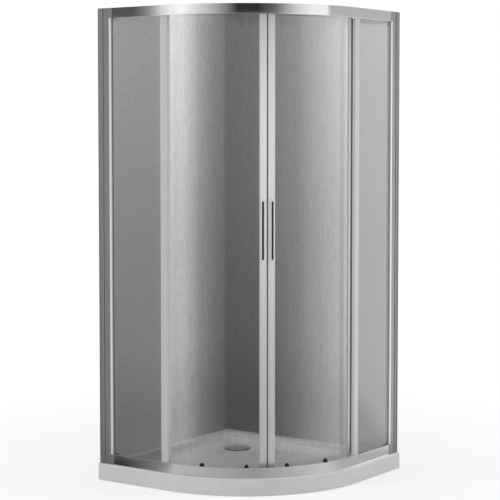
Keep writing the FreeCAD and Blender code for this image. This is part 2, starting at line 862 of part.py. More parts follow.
def make_door_glass(side):
    start = angle_of(dim.meeting_gap + dim.meeting_stile_width - dim.stile_slot_depth + dim.stile_glass_play,
                     door_inside)
    finish = dim.door_outer_angle - angle_of(
        dim.outer_stile_width - dim.stile_slot_depth + dim.stile_glass_play, door_inside)
    low_angle = finish if side.hand > 0 else start
    body = keep(make_body(side.label("door_glass"), side.polar_place(low_angle)))
    section = rectangle(door_inside, door_base, door_outside, door_base + door_height)
    sketch = make_sketch(body, "XZ_Plane", [section])
    revolve(body, sketch, "V_Axis", finish - start)
    for angle in roller_angles().values():
        turn = (angle - low_angle) * -side.hand
        axle = Circle(NONE, top_axle_height, dim.axle_hole_radius)
        bolt = Circle(NONE, arm_bolt_height, dim.bolt_radius + dim.bolt_hole_clearance)
        pocket(body, make_sketch(body, "YZ_Plane", [axle, bolt], NONE, turn), forward=True)


def door_piece(side, piece, angle, loops, base, height):
    """Pad loops of (radius, distance from the frame line) corners upright in a polar frame."""
    body = keep(make_body(side.label(piece), side.polar_place(angle)))
    turned = [[(radius, side.along(distance)) for radius, distance in loop] for loop in loops]
    pad(body, make_sketch(body, "XY_Plane", turned, base), height)
    return body


def make_meeting_stile(side):
    near = dim.meeting_gap
    far = near + dim.meeting_stile_width
    inner = door_inside - dim.meeting_stile_inside
    outer = door_outside + dim.meeting_stile_outside
    slot_inner = door_inside - dim.slot_inner_clearance
    slot_outer = door_outside + dim.slot_outer_clearance
    slot_end = far - dim.stile_slot_depth
    middle = (door_inside + door_outside) / 2
    groove_inner = middle - dim.magnet_width / 2 - dim.fit_clearance
    groove_outer = middle + dim.magnet_width / 2 + dim.fit_clearance
    groove_end = near + dim.magnet_groove_depth
    stile = [
        (inner, near),
        (groove_inner, near),
        (groove_inner, groove_end),
        (groove_outer, groove_end),
        (groove_outer, near),
        (outer, near),
        (outer, far),
        (slot_outer, far),
        (slot_outer, slot_end),
        (slot_inner, slot_end),
        (slot_inner, far),
        (inner, far),
    ]
    door_piece(side, "meeting_stile", NONE, [stile], door_base, door_height)
    magnet = rectangle(groove_inner + dim.fit_clearance, dim.magnet_gap,
                       groove_outer - dim.fit_clearance, groove_end - dim.fit_clearance)
    door_piece(side, "magnet_seal", NONE, [magnet], door_base, door_height)


def make_outer_stile(side):
    """U profile on the outer edge of the door, drawn back from that edge towards the meeting line."""
    inner = door_inside - dim.outer_stile_cheek
    outer = door_outside + dim.outer_stile_cheek
    slot_inner = door_inside - dim.slot_inner_clearance
    slot_outer = door_outside + dim.slot_outer_clearance
    width = dim.outer_stile_width
    slot_end = width - dim.stile_slot_depth
    stile = [
        (inner, NONE),
        (outer, NONE),
        (outer, -width),
        (slot_outer, -width),
        (slot_outer, -slot_end),
        (slot_inner, -slot_end),
        (slot_inner, -width),
        (inner, -width),
    ]
    door_piece(side, "outer_stile", dim.door_outer_angle, [stile], door_base, door_height)
    near = dim.wiper_edge
    base_top = outer + dim.wiper_base_thickness
    wiper = [
        (outer, -near),
        (base_top + dim.wiper_fin, -near),
        (base_top + dim.wiper_fin, -near - dim.wiper_fin_thickness),
        (base_top, -near - dim.wiper_fin_thickness),
        (base_top, -near - dim.wiper_base_width),
        (outer, -near - dim.wiper_base_width),
    ]
    low = bottom_rail_top + dim.seal_end_gap
    door_piece(side, "wiper_seal", dim.door_outer_angle, [wiper], low,
               between_rails - dim.seal_end_gap * 2)


def make_handle(side):
    """Plate on the meeting stile with an upright finger groove and a dark insert in it."""
    seat = door_outside + dim.meeting_stile_outside
    front = seat + dim.handle_thickness
    groove_floor = front - dim.grip_depth
    centre = (side.along(dim.handle_offset), dim.handle_centre_height)
    body = keep(make_body(side.label("handle"), side.polar_place(NONE)))
    plate = rounded_rectangle(centre, dim.handle_width, dim.handle_height, dim.handle_corner_radius)
    pad(body, make_sketch(body, "YZ_Plane", [plate], seat), dim.handle_thickness)

    def plate_rim(edge):
        box = edge.BoundBox
        return same(box.XMin, front.number) and same(box.XMax, front.number)

    dress(body, "Fillet", dim.handle_edge_radius, plate_rim)
    grip = rounded_rectangle(centre, dim.grip_width, dim.grip_height,
                             dim.grip_width * GRIP_CORNER_SHARE)
    pocket(body, make_sketch(body, "YZ_Plane", [grip], front), dim.grip_depth)
    insert = keep(make_body(side.label("handle_insert"), side.polar_place(NONE)))
    shrink = dim.fit_clearance * 2
    width = dim.grip_width - shrink
    slab = rounded_rectangle(centre, width, dim.grip_height - shrink, width * GRIP_CORNER_SHARE)
    pad(insert, make_sketch(insert, "YZ_Plane", [slab], groove_floor), dim.grip_insert_thickness)


def journal_profile(neck_start):
    """Stepped outline of a roller pin from its neck outward: (radius, half thickness) corners."""
    neck_end = wheel_line - dim.wheel_width / 2 - dim.wheel_side_gap
    journal_end = wheel_line + dim.wheel_width / 2 + dim.wheel_side_gap
    pin_end = journal_end + dim.retainer_thickness
    return [
        (neck_start, dim.neck_radius),
        (neck_end, dim.neck_radius),
        (neck_end, dim.journal_radius),
        (journal_end, dim.journal_radius),
        (journal_end, dim.retainer_radius),
        (pin_end, dim.retainer_radius),
        (pin_end, NONE),
    ]


def group(label, bodies):
    """One piece made of several like solids."""
    compound = doc.addObject("Part::Compound", label)
    compound.Label = label
    compound.Links = bodies
    keep(compound)


def make_top_axles(side):
    bodies = []
    inside = door_inside - dim.seat_clearance
    outside = door_outside + dim.seat_clearance
    shank = dim.axle_hole_radius - dim.axle_hole_clearance
    flange_end = outside + dim.axle_flange_thickness
    head = inside - dim.axle_cap_thickness
    for position, angle in roller_angles().items():
        body = make_body("top_axle_%s_%s" % (side.name, position), side.polar_place(angle))
        outline = [
            (head, NONE),
            (head, dim.axle_cap_radius),
            (inside, dim.axle_cap_radius),
            (inside, shank),
            (outside, shank),
            (outside, dim.axle_flange_radius),
            (flange_end, dim.axle_flange_radius),
        ] + journal_profile(flange_end)
        revolve(body, make_sketch(body, "XY_Plane", [outline], top_axle_height), "H_Axis")
        bodies.append(body)
    group(side.label("top_axles"), bodies)


def make_roller_arms(side):
    arms = []
    bolts = []
    seat = door_outside + dim.seat_clearance
    face = seat + dim.arm_thickness
    inside = door_inside - dim.seat_clearance
    bolt_hole = dim.bolt_radius + dim.bolt_hole_clearance
    for position, angle in roller_angles().items():
        arm = make_body("roller_arm_%s_%s" % (side.name, position), side.polar_place(angle))
        centre = (NONE, arm_base + dim.arm_height / 2)
        plate = rounded_rectangle(centre, dim.arm_width, dim.arm_height, dim.arm_corner_radius)
        pad(arm, make_sketch(arm, "YZ_Plane", [plate], seat), dim.arm_thickness)
        root = seat + dim.arm_thickness / 2
        pin = [(root, NONE)] + journal_profile(root)
        revolve(arm, make_sketch(arm, "XY_Plane", [pin], bottom_axle_height), "H_Axis")
        hole = Circle(NONE, arm_bolt_height, bolt_hole)
        pocket(arm, make_sketch(arm, "YZ_Plane", [hole], seat), dim.arm_thickness, forward=True)
        arms.append(arm)
        bolt = make_body("arm_bolt_%s_%s" % (side.name, position), side.polar_place(angle))
        head = inside - dim.bolt_cap_thickness
        outline = [
            (head, NONE),
            (head, dim.bolt_cap_radius),
            (inside, dim.bolt_cap_radius),
            (inside, dim.bolt_radius),
            (face, dim.bolt_radius),
            (face, NONE),
        ]
        revolve(bolt, make_sketch(bolt, "XY_Plane", [outline], arm_bolt_height), "H_Axis")
        bolts.append(bolt)
    group(side.label("roller_arms"), arms)
    group(side.label("arm_bolts"), bolts)


def make_wheels(side):
    bore = dim.journal_radius + dim.journal_clearance
    rows = (
        ("top", dim.top_wheel_radius, top_axle_height),
        ("bottom", dim.bottom_wheel_radius, bottom_axle_height),
    )
    for level, radius, height in rows:
        for position, angle in roller_angles().items():
            label = "%s_wheel_%s_%s" % (level, side.name, position)
            body = keep(make_body(label, side.polar_place(angle)))
            rings = [Circle(NONE, height, radius), Circle(NONE, height, bore)]
            start = wheel_line - dim.wheel_width / 2
            pad(body, make_sketch(body, "YZ_Plane", rings, start), dim.wheel_width)

            def tread_edge(edge):
                round_edge = isinstance(edge.Curve, Part.Circle)
                return round_edge and same(edge.Curve.Radius, radius.number)

            dress(body, "Chamfer", dim.wheel_edge_chamfer, tread_edge)


def write_pieces():
    doc.recompute()
    for item in doc.Objects:
        if "Invalid" in item.State or "Error" in item.State:
            raise RuntimeError("%s is not valid: %s" % (item.Label, item.State))
    os.makedirs("parts", exist_ok=True)
    for item in pieces:
        shape = item.Shape
        if shape.isNull() or not shape.isValid() or not shape.Solids:
            raise RuntimeError("%s has no sound solid" % item.Label)
        shape.exportStep("parts/%s.step" % item.Label)
        print(item.Label, len(shape.Solids), "solids", round(shape.Volume / 1000, 2), "cm3")


make_tray()
make_waste()
make_rails()
for half in SIDES:
    make_wall_profile(half)
    make_jamb(half)
    make_jamb_screws(half)
    make_profile_cap(half)
    make_fixed_pane(half)
    make_glazing_trim(half)
    make_edge_trim(half)
    make_corner_blocks(half)
    make_door_stop(half)
    make_door_glass(half)
    make_meeting_stile(half)
    make_outer_stile(half)
    make_handle(half)
    make_top_axles(half)
    make_roller_arms(half)
    make_wheels(half)
write_pieces()
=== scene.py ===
"""Looks of a quarter-round shower enclosure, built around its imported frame."""
import json
import logging
import math
from collections.abc import Callable
from dataclasses import dataclass
from enum import Enum

import bmesh
import bpy
from mathutils import Matrix, Vector


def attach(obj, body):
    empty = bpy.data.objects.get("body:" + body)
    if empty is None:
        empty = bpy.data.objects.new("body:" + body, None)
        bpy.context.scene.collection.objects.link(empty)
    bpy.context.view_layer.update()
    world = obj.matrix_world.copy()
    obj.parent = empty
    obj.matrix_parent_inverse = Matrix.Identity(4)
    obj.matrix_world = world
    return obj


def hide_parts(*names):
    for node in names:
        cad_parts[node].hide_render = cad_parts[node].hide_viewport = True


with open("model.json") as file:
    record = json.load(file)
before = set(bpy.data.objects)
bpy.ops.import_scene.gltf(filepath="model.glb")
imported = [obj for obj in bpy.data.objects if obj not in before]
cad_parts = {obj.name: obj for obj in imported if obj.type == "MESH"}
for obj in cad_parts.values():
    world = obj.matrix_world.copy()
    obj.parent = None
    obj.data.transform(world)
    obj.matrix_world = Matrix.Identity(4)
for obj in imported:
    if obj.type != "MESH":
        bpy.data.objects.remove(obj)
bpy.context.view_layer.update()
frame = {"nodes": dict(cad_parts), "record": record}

MM = 0.001
SHARP_ANGLE = math.radians(32)
MERGE_DISTANCE = 1e-6
FLAT_FACE_WEIGHT = 100
SECTION_STEPS = 3
MEETING_HEADING = -45.0
QUARTER_TURN = 90.0
ROOT_BODY = "enclosure"
# Places of the share, the two colours and the result among the sockets of a Mix node
MIX_SHARE = 0
MIX_FIRST = 6
MIX_SECOND = 7
MIX_RESULT = 2
LOG = logging.getLogger("shower_enclosure")

Spot = tuple[float, float, float]
Pair = tuple[float, float]
Pairs = tuple[Pair, ...]
Section = list[Pair]
Pieces = list[bpy.types.Object]
Sockets = dict[str | int, object]


class Side(Enum):
    """The two halves of the enclosure. The right one is the left one mirrored in the diagonal."""

    LEFT = "left"
    RIGHT = "right"

    def name_of(self, piece: str) -> str:
        """Name of a piece or frame node of this half."""
        return f"{piece}_{self.value}"

    def door(self) -> str:
        """Name of the door body of this half."""
        return f"{self.value}_door"


class Level(Enum):
    """The two rails."""

    TOP = "top"
    BOTTOM = "bottom"


class Grain(Enum):
    """How the fine marks of a surface lie, as the scale of their pattern along each axis."""

    EVEN = (1.0, 1.0, 1.0)
    UPRIGHT = (1.0, 1.0, 0.012)
    STROKES = (1.0, 1.0, 0.11)
    LEVEL = (0.03, 0.03, 1.0)


class Roller(Enum):
    """The two rollers at the top and at the foot of a door, by their turn from the meeting line."""

    INNER = 9.5
    OUTER = 30.5


def linear(colour: str) -> tuple[float, float, float, float]:
    """Turn an sRGB hex colour to linear light.

    Args:
        colour: Six hex digits after a hash.

    Returns:
        Red, green, blue and an alpha of one.
    """
    values = [int(colour[place:place + 2], 16) / 255 for place in (1, 3, 5)]
    return (*[v / 12.92 if v <= 0.04045 else ((v + 0.055) / 1.055) ** 2.4 for v in values], 1.0)


def per_metre(size_mm: float) -> float:
    """Texture scale that gives marks of a size in millimetres."""
    return 1 / (size_mm * MM)


def add_node(tree: bpy.types.NodeTree, kind: str, sockets: Sockets | None = None, stops: Pairs = (),
             **settings: object) -> bpy.types.Node:
    """Add a node with its settings and links.

    Args:
        tree: Node tree that gets the node.
        kind: Blender's name of the node type.
        sockets: Value or linked output for each input.
        stops: Place and grey value of each stop, where the node has a ramp.
        **settings: Attributes of the node.

    Returns:
        The new node.
    """
    node = tree.nodes.new(kind)
    for name, value in settings.items():
        setattr(node, name, value)
    for name, value in (sockets or {}).items():
        if isinstance(value, bpy.types.NodeSocket):
            tree.links.new(value, node.inputs[name])
        else:
            node.inputs[name].default_value = value
    for number, (place, grey) in enumerate(stops):
        elements = node.color_ramp.elements
        element = elements[number] if number < len(elements) else elements.new(place)
        element.position = place
        element.color = (grey, grey, grey, 1.0)
    return node


def mirrored_rays(tree: bpy.types.NodeTree) -> bpy.types.NodeSocket:
    """Tell the rays that leave a mirror from all others.

    Args:
        tree: Node tree that gets the nodes.

    Returns:
        One for rays that were thrown back by a shiny face, and zero for the rest.
    """
    path = add_node(tree, "ShaderNodeLightPath").outputs
    sockets = {0: path["Is Glossy Ray"], 1: path["Is Transmission Ray"]}
    return add_node(tree, "ShaderNodeMath", sockets, operation="SUBTRACT", use_clamp=True).outputs[0]


def backdrop_rays(tree: bpy.types.NodeTree) -> bpy.types.NodeSocket:
    """Tell the rays that show the backdrop from those that light matt faces.

    Args:
        tree: Node tree that gets the nodes.

    Returns:
        One for rays from the camera, a mirror or glass, and zero for the rest and past a matt face.
    """
    path = add_node(tree, "ShaderNodeLightPath").outputs
    shiny = {0: path["Is Glossy Ray"], 1: path["Is Transmission Ray"]}
    either = add_node(tree, "ShaderNodeMath", shiny, operation="MAXIMUM").outputs[0]
    shown = add_node(tree, "ShaderNodeMath", {0: path["Is Camera Ray"], 1: either}, operation="MAXIMUM")
    sockets = {0: shown.outputs[0], 1: path["Diffuse Depth"]}
    return add_node(tree, "ShaderNodeMath", sockets, operation="SUBTRACT", use_clamp=True).outputs[0]


@dataclass(frozen=True)
class Finish:
    """A real material and how its surface was made.

    Attributes:
        name: Common name and making, used as the material's name.
        tone: Main colour.
        second_tone: Colour that the surface drifts to in places.
        roughness: Lowest and highest roughness over the surface.
        blotch_mm: Width of the places where tone and roughness drift.
        grain_mm: Width of the fine marks.
        relief_mm: Height of the fine marks.
        grain: How the fine marks lie.
        metallic: One for bare metal, and less where an oxide layer or blasting dulls it.
        coat: Weight of a clear gloss layer.
        spread: Noise values where the second tone starts and where it is full.
        grain_spread: Noise values where a fine mark starts and where it is full.
        blotch_detail: Octaves of finer marks in the blotches.
        grain_detail: Octaves of finer marks in the fine marks.
    """

    name: str
    tone: str
    second_tone: str
    roughness: Pair
    blotch_mm: float
    grain_mm: float
    relief_mm: float
    grain: Grain = Grain.EVEN
    metallic: float = 0.0
    coat: float = 0.0
    spread: Pair = (0.3, 0.7)
    grain_spread: Pair = (0.3, 0.7)
    blotch_detail: float = 4.0
    grain_detail: float = 2.0

    def material(self) -> bpy.types.Material:
        """Make the node material once and hand it out again later.

        Returns:
            The material.
        """
        found = bpy.data.materials.get(self.name)
        if found:
            return found
        made = bpy.data.materials.new(self.name)
        made.use_nodes = True
        self.dress(made.node_tree, made.node_tree.nodes["Principled BSDF"])
        return made

    def marks(self, tree: bpy.types.NodeTree, size_mm: float, detail: float,
              spread: Pair) -> bpy.types.NodeSocket:
        """Draw marks of a real size that stay on the piece.

        Args:
            tree: The material's node tree.
            size_mm: Width of one mark.
            detail: Octaves of finer marks.
            spread: Noise values where a mark starts and where it is full.

        Returns:
            Zero between the marks and one on them.
        """
        place = add_node(tree, "ShaderNodeTexCoord").outputs["Object"]
        sockets = {"Vector": place, "Scale": self.grain.value}
        laid = add_node(tree, "ShaderNodeMapping", sockets).outputs["Vector"]
        sockets = {"Vector": laid, "Scale": per_metre(size_mm), "Detail": detail}
        speckle = add_node(tree, "ShaderNodeTexNoise", sockets).outputs["Fac"]
        sockets = {"Value": speckle, "From Min": spread[0], "From Max": spread[1]}
        return add_node(tree, "ShaderNodeMapRange", sockets).outputs["Result"]

    def dress(self, tree: bpy.types.NodeTree, shader: bpy.types.Node) -> None:
        """Set the shader and link its patterns.

        Args:
            tree: The material's node tree.
            shader: Its Principled shader.
        """
        drift = self.marks(tree, self.blotch_mm, self.blotch_detail, self.spread)
        tones = {MIX_SHARE: drift, MIX_FIRST: linear(self.tone), MIX_SECOND: linear(self.second_tone)}
        mixed = add_node(tree, "ShaderNodeMix", tones, data_type="RGBA").outputs[MIX_RESULT]
        tree.links.new(mixed, shader.inputs["Base Color"])
        fine = self.marks(tree, self.grain_mm, self.grain_detail, self.grain_spread)
        both = add_node(tree, "ShaderNodeMath", {0: drift, 1: fine}, operation="ADD").outputs[0]
        # The two patterns together reach two
        gloss = {"Value": both, "From Max": 2.0, "To Min": self.roughness[0], "To Max": self.roughness[1]}
        rough = add_node(tree, "ShaderNodeMapRange", gloss).outputs["Result"]
        tree.links.new(rough, shader.inputs["Roughness"])
        relief = add_node(tree, "ShaderNodeBump", {"Height": fine, "Distance": self.relief_mm * MM})
        tree.links.new(relief.outputs["Normal"], shader.inputs["Normal"])
        shader.inputs["Metallic"].default_value = self.metallic
        shader.inputs["Coat Weight"].default_value = self.coat


@dataclass(frozen=True)
class TintedGlass(Finish):
    """Safety glass with a rolled pattern, tinted in its mass. Light for the faces behind it shines through.

    Attributes:
        lamp_tone: Share of that light that each face lets through.
        index: How strongly the glass bends light.
    """

    lamp_tone: str = "#F4F5F5"
    index: float = 1.52

    def dress(self, tree: bpy.types.NodeTree, shader: bpy.types.Node) -> None:
        """Make the patterned surface clear and let the light on other faces through it.

        Args:
            tree: The material's node tree.
            shader: Its Principled shader.
        """
        super().dress(tree, shader)
        shader.inputs["Transmission Weight"].default_value = 1.0
        shader.inputs["IOR"].default_value = self.index
        path = add_node(tree, "ShaderNodeLightPath").outputs
        sockets = {0: path["Is Shadow Ray"], 1: path["Is Diffuse Ray"]}
        matt = add_node(tree, "ShaderNodeMath", sockets, operation="MAXIMUM").outputs[0]
        sockets = {0: matt, 1: mirrored_rays(tree)}
        soft = add_node(tree, "ShaderNodeMath", sockets, operation="MAXIMUM").outputs[0]
        sockets = {"Color": linear(self.lamp_tone)}
        clear = add_node(tree, "ShaderNodeBsdfTransparent", sockets).outputs["BSDF"]
        mix = add_node(tree, "ShaderNodeMixShader", {0: soft, 1: shader.outputs["BSDF"], 2: clear})
        tree.links.new(mix.outputs["Shader"], tree.nodes["Material Output"].inputs["Surface"])


# Brushed lines, moulded grain and turning marks are finer than this on the real pieces. They are drawn 0.7
# to 5 mm wide so that they show.

# Cast acrylic, vacuum formed: glossy white with a very soft waviness.
ACRYLIC = Finish("cast_acrylic_white", "#E9E9E8", "#E2E2E1", roughness=(0.10, 0.2), blotch_mm=90, grain_mm=5,
                 relief_mm=0.02, coat=0.3)
# Chrome plate on polished extrusion: a mirror with faint lines along its length.
CHROME = Finish("polished_chrome_plate", "#DEDFE0", "#D4D5D6", roughness=(0.02, 0.06), blotch_mm=140,
                grain_mm=4, relief_mm=0.002, grain=Grain.LEVEL, metallic=1.0)
# Anodised aluminium, satin: grey sheen with fine lines up the profile.
SATIN = Finish("satin_anodised_aluminium", "#8E9092", "#858789", roughness=(0.3, 0.42), blotch_mm=160,
               grain_mm=1.6, relief_mm=0.01, grain=Grain.UPRIGHT, metallic=0.4)
# Anodised aluminium, silver, on the meeting stiles: pale with soft reflections under the oxide layer.
SILVER = Finish("silver_anodised_aluminium", "#EEEFF0", "#E6E7E8", roughness=(0.25, 0.34), blotch_mm=160,
                grain_mm=1.6, relief_mm=0.003, grain=Grain.UPRIGHT, metallic=0.7)
# Anodised aluminium, pale, on the outer stiles: mostly matt with a soft gleam.
STILE = Finish("pale_anodised_stile", "#F2F3F3", "#EAEBEB", roughness=(0.3, 0.4), blotch_mm=160,
               grain_mm=1.6, relief_mm=0.004, grain=Grain.UPRIGHT, metallic=0.25)
# Anodised aluminium, bright dipped, on the pane edges: pale with blurred reflections.
BRIGHT = Finish("bright_dipped_aluminium", "#D6D7D8", "#CDCECF", roughness=(0.3, 0.42), blotch_mm=160,
                grain_mm=1.6, relief_mm=0.006, grain=Grain.UPRIGHT, metallic=0.1)
# Anodised aluminium, white silver, on the glazing beads: nearly white with a soft gleam.
PALE = Finish("pale_anodised_aluminium", "#F2F3F3", "#EAEBEB", roughness=(0.32, 0.44), blotch_mm=160,
              grain_mm=1.6, relief_mm=0.008, grain=Grain.UPRIGHT, metallic=0.3)
# Chrome plate, blasted before plating, on the grips: pale with a soft gleam.
SATIN_CHROME = Finish("satin_chrome_grip", "#EFF0F1", "#E6E7E8", roughness=(0.22, 0.34), blotch_mm=40,
                      grain_mm=1.2, relief_mm=0.004, metallic=0.4)
# Chrome plate on turned cap bolts: bright, with small sharp highlights on the domes.
TRIM = Finish("chrome_plated_trim", "#D8DADC", "#CCCED1", roughness=(0.06, 0.16), blotch_mm=40, grain_mm=2,
              relief_mm=0.002, metallic=1.0)
# Chrome plate, satin, on the waste cover: soft grey that mirrors the walls only as a blur.
COVER = Finish("satin_chrome_cover", "#C8CACB", "#BEC0C1", roughness=(0.3, 0.42), blotch_mm=30, grain_mm=0.9,
               relief_mm=0.004, metallic=0.5)
# ABS, moulded grey, with a spark-eroded grain: dull, with a fine even texture.
GREY_ABS = Finish("moulded_grey_abs", "#8E9092", "#838587", roughness=(0.38, 0.52), blotch_mm=30,
                  grain_mm=0.9, relief_mm=0.03)
# ABS, moulded black, with a spark-eroded grain: deep black with a dull sheen on its edges.
BLACK_ABS = Finish("moulded_black_abs", "#1C1C1E", "#262628", roughness=(0.4, 0.55), blotch_mm=25,
                   grain_mm=0.9, relief_mm=0.03)
# Nylon, turned: slightly waxy white.
NYLON = Finish("turned_white_nylon", "#E4E3DD", "#D8D7D0", roughness=(0.3, 0.42), blotch_mm=12, grain_mm=0.8,
               relief_mm=0.02)
# Thermoplastic seal, extruded: dull grey with a faint bloom.
SEAL = Finish("grey_seal_rubber", "#6A6B6D", "#77787A", roughness=(0.55, 0.75), blotch_mm=40, grain_mm=1.2,
              relief_mm=0.03)
# Soft vinyl of the glazing gaskets, extruded: light grey with a dull sheen.
PALE_SEAL = Finish("light_grey_vinyl_gasket", "#B8BABB", "#ACAEAF", roughness=(0.45, 0.6), blotch_mm=60,
                   grain_mm=1.5, relief_mm=0.02, grain=Grain.UPRIGHT)
# Soft clear vinyl of the strips on the pane edges, extruded: milky grey with a soft gloss.
CLEAR_SEAL = Finish("milky_vinyl_seal", "#E2E3E3", "#D6D7D8", roughness=(0.3, 0.45), blotch_mm=60,
                    grain_mm=1.5, relief_mm=0.02, grain=Grain.UPRIGHT)
# Flexible magnet strip in a smooth sleeve: dark grey, a shadow line between the doors.
MAGNET = Finish("magnet_strip_sleeve", "#5C5D60", "#6A6B6E", roughness=(0.4, 0.55), blotch_mm=60,
                grain_mm=1.2, relief_mm=0.02, grain=Grain.UPRIGHT)
# Stainless steel, turned and brushed, on axles, screws and the waste ring: cool grey with a broken gleam.
STEEL = Finish("brushed_stainless_steel", "#A6A8AA", "#989A9C", roughness=(0.22, 0.36), blotch_mm=25,
               grain_mm=0.7, relief_mm=0.006, metallic=1.0)
# Rolled safety glass of the fixed panes: grey, with sparse cloudy flecks.
PANE_GLASS = TintedGlass("rolled_grey_glass", "#A9AAAB", "#9C9D9E", roughness=(0.02, 0.06), blotch_mm=18,
                         grain_mm=9, relief_mm=0.02, spread=(0.5, 0.8))
# Bent safety glass of the doors: nearly clear, with faint upright strokes about 50 mm long.
DOOR_GLASS = TintedGlass("bent_pale_glass", "#F5F6F6", "#DEDFDF", roughness=(0.02, 0.06), blotch_mm=5.5,
                         grain_mm=5, relief_mm=0.015, grain=Grain.STROKES, lamp_tone="#F6F7F7")

FINISH_OF_SLOT = {
    "acrylic": ACRYLIC, "rail_chrome": CHROME, "satin_aluminium": SATIN, "bright_aluminium": SILVER,
    "grey_plastic": GREY_ABS, "black_plastic": BLACK_ABS, "white_nylon": NYLON, "seal_rubber": SEAL,
    "magnet_strip": MAGNET, "textured_glass": PANE_GLASS, "steel": STEEL, "chrome_trim": TRIM,
}
# Nodes whose finish differs from the rest of their slot
FINISH_OF_NODE = {
    "door_glass": DOOR_GLASS, "edge_seal": CLEAR_SEAL, "glazing_bead": PALE, "glazing_gasket": PALE_SEAL,
}


@dataclass(frozen=True)
class Plan:
    """Plan of the quarter round and the heights that several pieces share. Lengths are millimetres."""

    half_side: float = 450.0
    corner_radius: float = 550.0
    rail_inset: float = 11.0
    tray_height: float = 68.0
    total_height: float = 1918.0
    rail_height: float = 41.0
    rail_depth: float = 36.0
    jamb_end: float = 56.0
    rail_start: float = 74.0
    straight: float = 350.0
    door_base: float = 72.0
    door_top: float = 1914.0
    door_inside: float = 487.0
    door_outside: float = 493.0

    def arc_centre(self) -> Vector:
        """Centre of the round front, on the floor, in metres."""
        offset = self.half_side - self.corner_radius
        return Vector((offset, -offset, 0)) * MM

    def at_wall(self) -> Matrix:
        """Axes at the left wall: reach along the pane, setback behind the rail face, height."""
        return Matrix.Translation(Vector((-self.half_side, self.rail_inset - self.half_side, 0)) * MM)

    def at_turn(self, degrees: float) -> Matrix:
        """Give the axes at the arc centre for a turn from the meeting line towards the left.

        Args:
            degrees: The turn.

        Returns:
            Axes that point outward, away from the meeting line, and up.
        """
        heading = math.radians(MEETING_HEADING - degrees)
        out = Vector((math.cos(heading), math.sin(heading), 0))
        away = Vector((out.y, -out.x, 0))
        axes = Matrix((out, away, Vector((0, 0, 1)))).transposed().to_4x4()
        axes.translation = self.arc_centre()
        return axes

    def rail_base(self, level: Level) -> float:
        """Height of the lower edge of a rail."""
        return self.tray_height if level is Level.BOTTOM else self.total_height - self.rail_height

    def bottom_rail_top(self) -> float:
        """Height of the upper edge of the bottom rail."""
        return self.tray_height + self.rail_height


PLAN = Plan()
# Mirror in the upright plane through the wall corner and the meeting line
MIRROR = Matrix(((0, -1, 0, 0), (-1, 0, 0, 0), (0, 0, 1, 0), (0, 0, 0, 1)))


